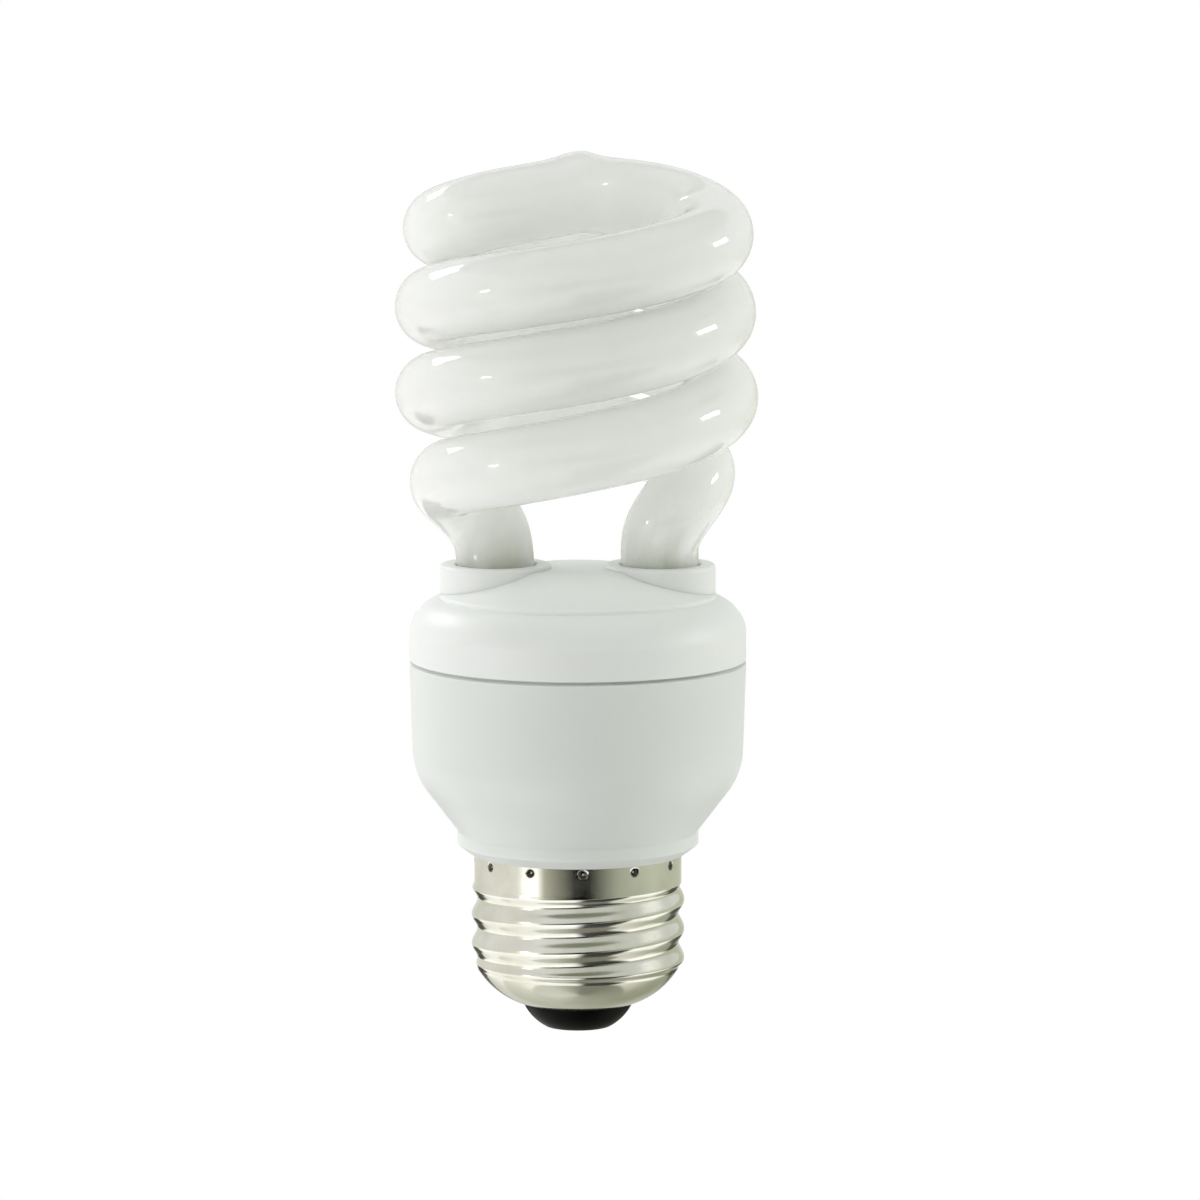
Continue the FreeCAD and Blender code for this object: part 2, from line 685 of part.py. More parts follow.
def diode_xy(i):
    return (DIODE_FIRST_X + i * DIODE_PITCH, DIODE_Y)


def wrap_pin_places():
    return [(side * LEG_X, face * WRAP_PIN_Y) for side in (-1, 1) for face in (-1, 1)]


def component_lead_places():
    places = spaced(CAPACITOR_XY, CAPACITOR_LEAD_SPACING)
    places += choke_pin_places()
    places += toroid_lead_places()
    for xy in TRANSISTOR_XY:
        places += transistor_lead_places(xy)
    for i in range(DIODE_COUNT):
        x, y = diode_xy(i)
        places += [(x, y - DIODE_SPAN / 2), (x, y + DIODE_SPAN / 2)]
    places += spaced(DIAC_XY, DIAC_SPAN)
    places += spaced(FUSE_XY, FUSE_SPAN)
    for xy in START_RESISTOR_XY:
        places += spaced(xy, START_RESISTOR_SPAN)
    places += spaced(RESONANT_CAPACITOR_XY, FILM_CAPACITOR_LEAD_SPAN)
    places += spaced(COUPLING_CAPACITOR_XY, FILM_CAPACITOR_LEAD_SPAN)
    places += spaced(INDUCTOR_XY, INDUCTOR_LEAD_SPACING)
    return places


def circuit_board():
    board = cylinder(BOARD_RADIUS, BOARD_LOW_Z, BOARD_TOP_Z)
    holes = []
    for x, y in component_lead_places():
        holes.append(cylinder(LEAD_RADIUS + LEAD_HOLE_CLEARANCE, BOARD_LOW_Z, BOARD_TOP_Z, x, y))
    for degrees in (LIVE_LEAD_DEG, NEUTRAL_LEAD_DEG):
        x, y = supply_lead_place(degrees)
        radius = SUPPLY_LEAD_RADIUS + LEAD_HOLE_CLEARANCE
        holes.append(cylinder(radius, BOARD_LOW_Z, BOARD_TOP_Z, x, y))
    for x, y in wrap_pin_places():
        holes.append(block(WRAP_PIN_WIDTH, WRAP_PIN_WIDTH, BOARD_LOW_Z, BOARD_TOP_Z, x, y))
    return board.cut(holes)


# Bulk capacitor

CAPACITOR_TOP_Z = BOARD_LOW_Z - COMPONENT_STAND
CAPACITOR_LOW_Z = CAPACITOR_TOP_Z - CAPACITOR_LENGTH
BUNG_LOW_Z = CAPACITOR_TOP_Z - CAPACITOR_BUNG_DEPTH


def capacitor_can():
    x, y = CAPACITOR_XY
    can = cylinder(CAPACITOR_RADIUS, CAPACITOR_LOW_Z, CAPACITOR_TOP_Z, x, y)
    bead_z = CAPACITOR_TOP_Z - CAPACITOR_BEAD_DROP
    depth = CAPACITOR_BEAD_DEPTH
    bead = turned(
        (CAPACITOR_RADIUS, bead_z - depth),
        (CAPACITOR_RADIUS, bead_z + depth),
        (CAPACITOR_RADIUS - depth, bead_z),
    )
    bead.translate(Vector(x, y, 0))
    pocket = cylinder(CAPACITOR_BUNG_RADIUS, BUNG_LOW_Z, CAPACITOR_TOP_Z, x, y)
    return can.cut([bead, pocket])


def capacitor_sleeve():
    """Shrunk sleeve round the can, turned in under its closed end."""
    x, y = CAPACITOR_XY
    outer = CAPACITOR_RADIUS + CAPACITOR_SLEEVE
    tube = ring(outer, CAPACITOR_RADIUS, CAPACITOR_LOW_Z, CAPACITOR_TOP_Z, x, y)
    fold_low = CAPACITOR_LOW_Z - CAPACITOR_SLEEVE
    fold = ring(outer, CAPACITOR_FOLD_RADIUS, fold_low, CAPACITOR_LOW_Z, x, y)
    return joined([tube, fold])


def capacitor_bung():
    x, y = CAPACITOR_XY
    bung = cylinder(CAPACITOR_BUNG_RADIUS, BUNG_LOW_Z, CAPACITOR_TOP_Z, x, y)
    places = spaced(CAPACITOR_XY, CAPACITOR_LEAD_SPACING)
    return bung.cut([cylinder(LEAD_RADIUS, BUNG_LOW_Z, CAPACITOR_TOP_Z, px, py) for px, py in places])


def capacitor_leads():
    places = spaced(CAPACITOR_XY, CAPACITOR_LEAD_SPACING)
    return Part.makeCompound([lead(x, y, BUNG_LOW_Z) for x, y in places])


# Choke

CHOKE_TOP_Z = BOARD_LOW_Z - COMPONENT_STAND
CHOKE_LOW_Z = CHOKE_TOP_Z - CHOKE_HEIGHT
CHOKE_MIDDLE_Z = (CHOKE_TOP_Z + CHOKE_LOW_Z) / 2
CHOKE_WINDOW_LOW_Z = CHOKE_LOW_Z + CHOKE_SIDE_LEG
CHOKE_WINDOW_TOP_Z = CHOKE_TOP_Z - CHOKE_SIDE_LEG


def choke_core():
    """Both core halves as one E over a mirrored E, before they are parted at the air gap."""
    x, y = CHOKE_XY
    window = (CHOKE_WIDTH - CHOKE_CENTRE_LEG) / 2 - CHOKE_SIDE_LEG
    reach = (CHOKE_CENTRE_LEG + window) / 2
    core = block(CHOKE_WIDTH, CHOKE_DEPTH, CHOKE_LOW_Z, CHOKE_TOP_Z, x, y)
    windows = [
        block(window, CHOKE_DEPTH, CHOKE_WINDOW_LOW_Z, CHOKE_WINDOW_TOP_Z, x + side * reach, y)
        for side in (-1, 1)
    ]
    return core.cut(windows)


def choke_core_half(low, high):
    x, y = CHOKE_XY
    return choke_core().common(block(CHOKE_WIDTH, CHOKE_DEPTH, low, high, x, y))


def choke_bobbin():
    """Bobbin: a square tube on the centre leg, two flanges, and two rails that hold the pins."""
    x, y = CHOKE_XY
    low = CHOKE_WINDOW_LOW_Z + BOBBIN_CLEARANCE
    high = CHOKE_WINDOW_TOP_Z - BOBBIN_CLEARANCE
    bore_width = CHOKE_CENTRE_LEG + 2 * BOBBIN_CLEARANCE
    bore_depth = CHOKE_DEPTH + 2 * BOBBIN_CLEARANCE
    flange_width = CHOKE_WIDTH - 2 * CHOKE_SIDE_LEG - 2 * BOBBIN_CLEARANCE
    flange_depth = 2 * BOBBIN_HALF_DEPTH
    parts = [block(bore_width + 2 * BOBBIN_WALL, bore_depth + 2 * BOBBIN_WALL, low, high, x, y)]
    parts.append(block(flange_width, flange_depth, low, low + BOBBIN_WALL, x, y))
    parts.append(block(flange_width, flange_depth, high - BOBBIN_WALL, high, x, y))
    rail_depth = BOBBIN_HALF_DEPTH - CHOKE_DEPTH / 2 - BOBBIN_CLEARANCE
    rail_y = BOBBIN_HALF_DEPTH - rail_depth / 2
    for face in (-1, 1):
        rail = block(flange_width, rail_depth, high - BOBBIN_WALL, CHOKE_TOP_Z, x, y + face * rail_y)
        parts.append(rail)
    body = joined(parts).cut(block(bore_width, bore_depth, low, high, x, y))
    pins = [cylinder(LEAD_RADIUS, high, CHOKE_TOP_Z, px, py) for px, py in choke_pin_places()]
    return body.cut(pins)


def choke_winding():
    x, y = CHOKE_XY
    low = CHOKE_WINDOW_LOW_Z + BOBBIN_CLEARANCE + BOBBIN_WALL
    high = CHOKE_WINDOW_TOP_Z - BOBBIN_CLEARANCE - BOBBIN_WALL
    core_width = CHOKE_CENTRE_LEG + 2 * BOBBIN_CLEARANCE + 2 * BOBBIN_WALL
    core_depth = CHOKE_DEPTH + 2 * BOBBIN_CLEARANCE + 2 * BOBBIN_WALL
    width = CHOKE_WIDTH - 2 * CHOKE_SIDE_LEG - 2 * BOBBIN_CLEARANCE - 2 * WINDING_INSET
    depth = 2 * BOBBIN_HALF_DEPTH - 2 * WINDING_INSET
    coil = block(width, depth, low, high, x, y)
    corners = [edge for edge in coil.Edges if edge.BoundBox.ZLength > NEAR]
    coil = coil.makeChamfer(WINDING_CHAMFER, corners)
    return coil.cut(block(core_width, core_depth, low, high, x, y))


def choke_pins():
    low = CHOKE_WINDOW_TOP_Z - BOBBIN_CLEARANCE
    return Part.makeCompound([lead(x, y, low) for x, y in choke_pin_places()])


# Feedback transformer

TOROID_TOP_Z = BOARD_LOW_Z - COMPONENT_STAND - TOROID_WIRE
TOROID_LOW_Z = TOROID_TOP_Z - TOROID_HEIGHT


def toroid_core():
    return ring(TOROID_RADIUS, TOROID_HOLE_RADIUS, TOROID_LOW_Z, TOROID_TOP_Z, *TOROID_XY)


def toroid_winding(i):
    """A few turns of wire as one wrapped sector, with its two leads."""
    x, y = TOROID_XY
    wire = TOROID_WIRE
    wrap = ring(
        TOROID_RADIUS + wire, TOROID_HOLE_RADIUS - wire, TOROID_LOW_Z - wire, TOROID_TOP_Z + wire, x, y
    )
    wrap = wrap.cut(toroid_core())
    angle = i * 360 / TOROID_WINDINGS
    reach = 2 * TOROID_RADIUS
    sector = Part.makeCylinder(
        reach, TOROID_HEIGHT + 4 * wire, Vector(0, 0, TOROID_LOW_Z - 2 * wire), Vector(0, 0, 1),
        TOROID_WINDING_DEG,
    )
    sector.rotate(Vector(0, 0, 0), Vector(0, 0, 1), angle - TOROID_WINDING_DEG / 2)
    sector.translate(Vector(x, y, 0))
    places = toroid_lead_places()[2 * i:2 * i + 2]
    leads = [cylinder(wire / 2, TOROID_TOP_Z + wire / 2, LEAD_TOP_Z, px, py) for px, py in places]
    return joined([wrap.common(sector)] + leads)


# Other components


def transistor(xy):
    """Moulded body with one flat side, and three leads."""
    x, y = xy
    top = BOARD_LOW_Z - TRANSISTOR_DROP
    low = top - TRANSISTOR_HEIGHT
    body = cylinder(TRANSISTOR_RADIUS, low, top, x, y)
    size = 2 * TRANSISTOR_RADIUS
    body = body.cut(block(2 * size, size, low, top, x, y + TRANSISTOR_FLAT + TRANSISTOR_RADIUS))
    return joined([body] + [lead(px, py, top - LEAD_SEAT) for px, py in transistor_lead_places(xy)])


def axial_part(xy, radius, length, span, along_y=False):
    """Round body lying under the board, with both leads bent up through it."""
    z = BOARD_LOW_Z - AXIAL_DROP
    half = span / 2
    points = [(-half, 0, LEAD_TOP_Z), (-half, 0, z), (half, 0, z), (half, 0, LEAD_TOP_Z)]
    wire = bent_lead(points, LEAD_RADIUS)
    body = Part.makeCylinder(radius, length, Vector(-length / 2, 0, z), Vector(1, 0, 0))
    ends = [edge for edge in body.Edges if abs(edge.BoundBox.XMax - edge.BoundBox.XMin) < NEAR]
    body = body.makeChamfer(AXIAL_CHAMFER, ends)
    part = joined([body, wire])
    if along_y:
        part.rotate(Vector(0, 0, 0), Vector(0, 0, 1), 90)
    part.translate(Vector(xy[0], xy[1], 0))
    return part


def film_capacitor(xy, height):
    top = BOARD_LOW_Z - COMPONENT_STAND
    body = block(FILM_CAPACITOR_WIDTH, FILM_CAPACITOR_DEPTH, top - height, top, *xy)
    body = body.makeChamfer(COMPONENT_CHAMFER, body.Edges)
    leads = [lead(x, y, top - LEAD_SEAT) for x, y in spaced(xy, FILM_CAPACITOR_LEAD_SPAN)]
    return joined([body] + leads)


def input_inductor():
    top = BOARD_LOW_Z - COMPONENT_STAND
    body = cylinder(INDUCTOR_RADIUS, top - INDUCTOR_HEIGHT, top, *INDUCTOR_XY)
    rims = [edge for edge in body.Edges if edge.BoundBox.ZLength < LEAD_SEAT]
    body = body.makeChamfer(COMPONENT_CHAMFER, rims)
    leads = [lead(x, y, top - LEAD_SEAT) for x, y in spaced(INDUCTOR_XY, INDUCTOR_LEAD_SPACING)]
    return joined([body] + leads)


# Wiring


def wrap_pin(xy):
    return block(WRAP_PIN_WIDTH, WRAP_PIN_WIDTH, BOARD_LOW_Z, WRAP_PIN_TOP_Z, *xy)


def electrode_lead(xy):
    """Bare wire from the leg's sealed end down and across to the side of its wrap pin."""
    x, y = xy
    face = math.copysign(1.0, y)
    start_y = face * ELECTRODE_LEAD_Y
    end_y = face * (WRAP_PIN_Y - WRAP_PIN_WIDTH / 2)
    low = SOCKET_LOW_Z - ELECTRODE_LEAD_DROP
    points = [(x, start_y, SOCKET_LOW_Z), (x, start_y, low), (x, end_y, low)]
    return bent_lead(points, ELECTRODE_LEAD_RADIUS)


def live_lead():
    """From the board past the capacitor and down the axis to the solder of the centre contact."""
    x, y = supply_lead_place(LIVE_LEAD_DEG)
    turn_z = CAPACITOR_LOW_Z - LIVE_LEAD_DROP
    axis_z = INSULATOR_TOP_Z + LIVE_LEAD_RISE
    foot_z = CONTACT_CENTRE_Z + CONTACT_THICKNESS
    points = [(x, y, LEAD_TOP_Z), (x, y, turn_z), (0, 0, axis_z), (0, 0, foot_z)]
    return bent_lead(points, SUPPLY_LEAD_RADIUS)


def neutral_lead():
    """From the board down past the spigot's foot and out to the inside of the screw shell."""
    x, y = supply_lead_place(NEUTRAL_LEAD_DEG)
    level = SPIGOT_LOW_Z - NEUTRAL_LEAD_DROP
    reach = (THREAD_BORE_RADIUS - NEUTRAL_END_GAP) / math.hypot(x, y)
    points = [(x, y, LEAD_TOP_Z), (x, y, level), (x * reach, y * reach, level)]
    return bent_lead(points, SUPPLY_LEAD_RADIUS)


def build():
    nodes = {
        "spiral_tube": spiral_tube(),
        "tube_holder": tube_holder(),
        "leg_cement_left": leg_cement(-LEG_X),
        "leg_cement_right": leg_cement(LEG_X),
        "ballast_housing": ballast_housing(),
        "screw_shell": screw_shell(),
        "base_insulator": base_insulator(),
        "centre_contact": centre_contact(),
        "contact_solder": contact_solder(),
        "circuit_board": circuit_board(),
        "capacitor_can": capacitor_can(),
        "capacitor_sleeve": capacitor_sleeve(),
        "capacitor_bung": capacitor_bung(),
        "capacitor_leads": capacitor_leads(),
        "choke_core_lower": choke_core_half(CHOKE_LOW_Z, CHOKE_MIDDLE_Z - CHOKE_AIR_GAP / 2),
        "choke_core_upper": choke_core_half(CHOKE_MIDDLE_Z + CHOKE_AIR_GAP / 2, CHOKE_TOP_Z),
        "choke_bobbin": choke_bobbin(),
        "choke_winding": choke_winding(),
        "choke_pins": choke_pins(),
        "toroid_core": toroid_core(),
        "diac": axial_part(DIAC_XY, DIAC_RADIUS, DIAC_LENGTH, DIAC_SPAN),
        "fuse_resistor": axial_part(FUSE_XY, FUSE_RADIUS, FUSE_LENGTH, FUSE_SPAN),
        "resonant_capacitor": film_capacitor(RESONANT_CAPACITOR_XY, RESONANT_CAPACITOR_HEIGHT),
        "coupling_capacitor": film_capacitor(COUPLING_CAPACITOR_XY, COUPLING_CAPACITOR_HEIGHT),
        "input_inductor": input_inductor(),
        "live_lead": live_lead(),
        "neutral_lead": neutral_lead(),
    }
    for i in range(TOROID_WINDINGS):
        nodes[f"toroid_winding_{i + 1}"] = toroid_winding(i)
    for i, xy in enumerate(TRANSISTOR_XY):
        nodes[f"transistor_{i + 1}"] = transistor(xy)
    for i in range(DIODE_COUNT):
        nodes[f"rectifier_diode_{i + 1}"] = axial_part(
            diode_xy(i), DIODE_RADIUS, DIODE_LENGTH, DIODE_SPAN, along_y=True
        )
    for i, xy in enumerate(START_RESISTOR_XY):
        nodes[f"start_resistor_{i + 1}"] = axial_part(
            xy, START_RESISTOR_RADIUS, START_RESISTOR_LENGTH, START_RESISTOR_SPAN
        )
    for i, xy in enumerate(wrap_pin_places()):
        nodes[f"wrap_pin_{i + 1}"] = wrap_pin(xy)
        nodes[f"electrode_lead_{i + 1}"] = electrode_lead(xy)
    return nodes


os.makedirs("parts", exist_ok=True)
for name, shape in build().items():
    shape.exportStep(f"parts/{name}.step")
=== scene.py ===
import math

import bmesh
import bpy
import numpy as np
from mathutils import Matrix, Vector


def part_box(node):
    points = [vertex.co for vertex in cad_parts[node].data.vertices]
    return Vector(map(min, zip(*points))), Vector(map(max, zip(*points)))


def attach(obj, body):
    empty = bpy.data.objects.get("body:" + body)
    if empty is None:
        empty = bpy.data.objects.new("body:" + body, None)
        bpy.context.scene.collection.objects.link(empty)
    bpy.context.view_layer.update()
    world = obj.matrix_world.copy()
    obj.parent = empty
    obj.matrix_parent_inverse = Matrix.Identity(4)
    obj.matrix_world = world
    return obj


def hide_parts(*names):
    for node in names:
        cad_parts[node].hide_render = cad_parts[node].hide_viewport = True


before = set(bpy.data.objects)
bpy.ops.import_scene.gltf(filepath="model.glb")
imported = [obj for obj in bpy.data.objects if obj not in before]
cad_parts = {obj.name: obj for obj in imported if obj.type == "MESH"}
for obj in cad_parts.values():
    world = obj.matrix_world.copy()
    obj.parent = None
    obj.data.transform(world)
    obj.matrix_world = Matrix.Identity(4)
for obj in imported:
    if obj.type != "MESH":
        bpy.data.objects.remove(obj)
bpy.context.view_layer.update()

# Looks of a spiral energy saving bulb: coated glass tube, white mouldings, nickel screw shell and black foot.
# Lengths in this script are millimetres until a mesh, a light or the camera is made.

MM = 0.001

# Facets round a turned piece
AROUND = 256
SHELL_AROUND = 400
TUBE_AROUND = 56

# Screw shell
THREAD_PITCH = 3.629
THREAD_DEPTH = 0.69
THREAD_LENGTH = 10.8
THREAD_START = math.radians(239.0)
THREAD_RUN_OUT = 1.1
THREAD_LEAN = 0.1
SHELL_WALL = 0.3
SHELL_FOOT_RADIUS = 6.75
SHELL_BAND_HEIGHT = 3.5
SHELL_SHOULDER_BULGE = (0.58, 0.38)
PUNCH_COUNT = 12
PUNCH_FIRST = math.radians(-87.0)
PUNCH_MOUTH = 0.55
PUNCH_DEPTH = 0.4
PUNCH_DROP = 0.75
# Painted shade of the punches: how far it is lowered, and how much wider than a punch's mouth it spreads
DENT_SHADE_DROP = 0.06
DENT_SHADE_SPREAD = 1.2

# Foot
INSULATOR_RIM_RADIUS = 4.0
INSULATOR_RIM_Z = 0.35
INSULATOR_BULGE = (0.64, 0.47)
INSULATOR_BORE = 1.2
PLUG_STEP = 4.0
CONTACT_RADIUS = 3.5
CONTACT_EDGE_Z = 0.42
CONTACT_CENTRE_Z = 0.2
CONTACT_THICKNESS = 0.4
CONTACT_HOLE = 0.8
SOLDER_FLAT = 1.0
SOLDER_RADIUS = 1.7

# Housing, above the shell
HOUSING_WALL = 1.6
SPIGOT_GAP = 0.05
SPIGOT_LENGTH = 7.2
NECK_BORE = 10.4
RIM_INNER = 13.1
RIM_RADIUS = 14.75
RIM_CHAMFER = 1.2
RIM_HEIGHT = 1.3
RIM_GROOVE = 0.08
RIM_GROOVE_HEIGHT = 0.45
CONE_TOP_RADIUS = 18.4
CONE_HEIGHT = 5.2
CURVE_TOP_RADIUS = 20.2
CURVE_HEIGHT = 4.9
CURVE_BULGE = (0.66, 0.42)
SEAM_CHAMFER = 0.25
SEAM_DEPTH = 0.75

# Tube holder, above the seam
HOLDER_WALL = 1.6
SKIRT_RADIUS = 18.85
SKIRT_WALL = 1.2
SKIRT_DEPTH = 3.3
HOLDER_RIM = 4.0
SHOULDER_HEIGHT = 3.8
SHOULDER_RADIUS = 16.9
SHOULDER_BULGE = (0.24, 0.5)
STEP_HEIGHT = 0.5
ROOF_RISE = 3.1
ROOF_FLAT = 7.5
LEG_X = 10.0
TURRET_RADIUS = 6.8
TURRET_DEPTH = 8.5
SOCKET_LIP = 4.9
SOCKET_LIP_HEIGHT = 1.3
SOCKET_WELL = 5.7

# Glass tube
TUBE_RADIUS = 4.75
COIL_RADIUS = 17.44
COIL_TAPER = 2.25
COIL_LIFT = 10.1
COIL_HALF_PITCH = 10.35
COIL_HALF_TURNS = 3
COIL_STEP = 22.5
BRIDGE_RISE = 4.1
BRIDGE_MIDDLE = 4.15
TIP_HEIGHT = 0.5
TIP_X = 0.6
TIP_REACH_LEFT = 3.1
TIP_REACH_RIGHT = 2.0
PINCH_LENGTH = 1.8

# Spline poles of the bend, with heights over the sockets, and of the crossing, over the coil's top
BEND_POLES = ((10.2, -1.8, 4.2), (12.9, -2.2, 8.0), (16.1, 2.9, 11.3))
BRIDGE_POLES = ((-17.0, 8.0, -1.25), (-16.4, -2.2, 0.55), (-10.1, -5.3, 2.7), (-2.9, -2.4, 3.55))
RINGS_PER_POLE = 14

# How the blown coil strays from a true one, at each of its four rows from the lowest up
LEFT_RISE = (-0.45, 0.45, 0.6, 0.0)
LEFT_SHIFT = (-0.85, 0.0, 0.0, 0.0)
RIGHT_SHIFT = (-0.4, -0.25, -0.55, 0.0)
FRONT_RISE = (0.0, 0.0, 0.3, 0.0)

# Camera, as the photograph was taken
CAMERA_DISTANCE = 950.0
CAMERA_ELEVATION = math.radians(7.8)
CAMERA_AIM_X = 2.7
CAMERA_AIM_OVER_SEAM = 7.4
CAMERA_LENS = 233.7
CAMERA_SENSOR = 36.0
CAMERA_REACH = 20000.0

# Studio
FLOOR_Z = -250.0
FLOOR_RADIUS = 900.0
FLOOR_LEVEL = 1.12
FLOOR_PLAIN_SHARE = 0.8
WALL_LEVEL = 0.95
BOX_DISTANCE = 700.0
CORE_LAMP_RADIUS = 6.0
CARD_DISTANCE = 1150.0
LOW_CARD_DISTANCE = 230.0
CARD_COLUMNS = 361
CARD_ROWS = 13

# Shades of the studio cards round the bulb: azimuth from the camera's side, red, green, blue.
# They are plain zones: a pale left side, a white strip, a dark strip in front and a greenish right side.
# The low to nadir cards go on below the horizon card, and the high to top cards above it.
# The flag keeps the right box out of the shell's reflections.
HORIZON_SHADES = (
    (-180, 0.8, 0.8, 0.75), (-70, 1.0, 1.0, 0.95), (-62, 1.6, 1.6, 1.6), (-46, 1.6, 1.6, 1.6),
    (-38, 0.5, 0.5, 0.4), (-4, 0.0, 0.0, 0.0), (12, 0.0, 0.0, 0.0), (45, 0.45, 0.48, 0.38),
    (90, 0.65, 0.68, 0.55), (150, 0.6, 0.62, 0.5), (180, 0.8, 0.8, 0.75),
)
LOW_SHADES = (
    (-180, 0.8, 0.8, 0.76), (-166, 0.3, 0.3, 0.27), (-160, 0.08, 0.08, 0.07), (-142, 0.08, 0.08, 0.07),
    (-134, 1.4, 1.4, 1.38), (-2, 1.6, 1.6, 1.6), (9, 0.05, 0.05, 0.05), (56, 0.04, 0.04, 0.04),
    (64, 1.5, 1.5, 1.48), (112, 1.4, 1.4, 1.36), (124, 0.5, 0.53, 0.43), (132, 0.1, 0.1, 0.08),
    (156, 0.1, 0.1, 0.08), (168, 0.5, 0.5, 0.46), (180, 0.8, 0.8, 0.76),
)
MIDDLE_SHADES = (
    (-180, 0.7, 0.71, 0.64), (-150, 0.85, 0.86, 0.8), (-130, 1.3, 1.3, 1.28), (-2, 1.5, 1.5, 1.5),
    (9, 0.06, 0.06, 0.06), (54, 0.05, 0.05, 0.05), (64, 1.4, 1.4, 1.36), (106, 1.3, 1.3, 1.25),
    (124, 0.5, 0.53, 0.42), (150, 0.4, 0.42, 0.32), (180, 0.7, 0.71, 0.64),
)
DEEP_SHADES = (
    (-180, 0.55, 0.56, 0.48), (-150, 0.72, 0.73, 0.65), (-120, 1.0, 1.0, 0.95), (-100, 1.3, 1.3, 1.28),
    (-2, 1.2, 1.2, 1.2), (9, 0.08, 0.08, 0.08), (52, 0.08, 0.08, 0.08), (64, 1.0, 1.0, 0.94),
    (100, 0.8, 0.8, 0.72), (130, 0.45, 0.47, 0.36), (150, 0.4, 0.42, 0.32), (180, 0.55, 0.56, 0.48),
)
NADIR_SHADES = (
    (-180, 0.5, 0.51, 0.43), (-120, 0.85, 0.86, 0.79), (-60, 0.75, 0.76, 0.68), (-5, 0.42, 0.43, 0.36),
    (10, 0.28, 0.28, 0.24), (60, 0.28, 0.28, 0.23), (120, 0.4, 0.42, 0.33), (180, 0.5, 0.51, 0.43),
)
HIGH_SHADES = (
    (-180, 0.8, 0.82, 0.8), (-120, 0.95, 0.95, 0.95), (-50, 0.95, 0.95, 0.95), (10, 0.7, 0.72, 0.68),
    (50, 0.7, 0.72, 0.68), (90, 0.8, 0.82, 0.8), (180, 0.8, 0.82, 0.8),
)
CEILING_SHADES = ((-180, 0.22, 0.24, 0.18), (180, 0.22, 0.24, 0.18))
TOP_SHADES = ((-180, 0.6, 0.62, 0.61), (180, 0.6, 0.62, 0.61))
FLAG_SHADES = ((78, 0.82, 0.84, 0.8), (106, 0.82, 0.84, 0.8))


def span(node):
    """Lowest and highest corner of a CAD node, in millimetres."""
    low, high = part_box(node)
    return np.array(low) / MM, np.array(high) / MM


# Heights and radii that the frame gives
SHELL_FOOT_Z = span("screw_shell")[0][2]
SHELL_TOP_Z = span("screw_shell")[1][2]
CREST_RADIUS = span("screw_shell")[1][0]
SEAM_Z = span("ballast_housing")[1][2]
BODY_RADIUS = span("ballast_housing")[1][0]
TURRET_TOP_Z = span("tube_holder")[1][2]
SOCKET_LOW_Z = span("spiral_tube")[0][2]
INSULATOR_TOP_Z = span("base_insulator")[1][2]

BAND_RADIUS = CREST_RADIUS - THREAD_DEPTH / 2
BAND_LOW_Z = SHELL_TOP_Z - SHELL_BAND_HEIGHT
THREAD_LOW_Z = BAND_LOW_Z - THREAD_LENGTH
SHELL_MIDDLE_Z = (SHELL_FOOT_Z + SHELL_TOP_Z) / 2
COIL_LOW_Z = TURRET_TOP_Z + COIL_LIFT
COIL_TOP_Z = COIL_LOW_Z + COIL_HALF_TURNS * COIL_HALF_PITCH
CAMERA_AIM = Vector((CAMERA_AIM_X, 0.0, SEAM_Z + CAMERA_AIM_OVER_SEAM))


# Mesh helpers


def grid_faces(rows, cols, closed_rows, first=0):
    """Quads between neighbouring points of a grid whose columns run round; the rows close up if asked."""
    index = np.arange(rows * cols).reshape(rows, cols) + first
    if closed_rows:
        index = np.vstack([index, index[:1]])
    index = np.hstack([index, index[:, :1]])
    quads = [index[:-1, :-1], index[:-1, 1:], index[1:, 1:], index[1:, :-1]]
    return np.stack(quads, axis=-1).reshape(-1, 4)


def make_piece(name, grids, closed_rows=True):
    """Smooth object from grids of points (rows, columns, 3) in millimetres, with its poles merged."""
    points = []
    faces = []
    count = 0
    for grid in grids:
        rows, cols = grid.shape[:2]
        faces.append(grid_faces(rows, cols, closed_rows, count))
        points.append(grid.reshape(-1, 3))
        count += rows * cols
    mesh = bpy.data.meshes.new(name)
    mesh.from_pydata((np.vstack(points) * MM).tolist(), [], np.vstack(faces).tolist())
    merge_and_turn_out(mesh)
    piece = bpy.data.objects.new(name, mesh)
    bpy.context.scene.collection.objects.link(piece)
    return piece


def merge_and_turn_out(mesh):
    """Merges coincident points, drops collapsed faces, points the rest outwards and shades them smooth."""
    work = bmesh.new()
    work.from_mesh(mesh)
    bmesh.ops.remove_doubles(work, verts=work.verts, dist=0.0005 * MM)
    bmesh.ops.recalc_face_normals(work, faces=work.faces)
    work.to_mesh(mesh)
    work.free()
    mesh.polygons.foreach_set("use_smooth", np.ones(len(mesh.polygons), bool))
    mesh.update()


def mark(piece, name, share):
    """Stores an attribute for each point, worked out by share from its x, y and z in millimetres."""
    points = piece.data.vertices
    co = np.empty(len(points) * 3, np.float32)
    points.foreach_get("co", co)
    values = share(*(co.reshape(-1, 3).T / MM))
    piece.data.attributes.new(name, "FLOAT", "POINT").data.foreach_set("value", values.astype(np.float32))


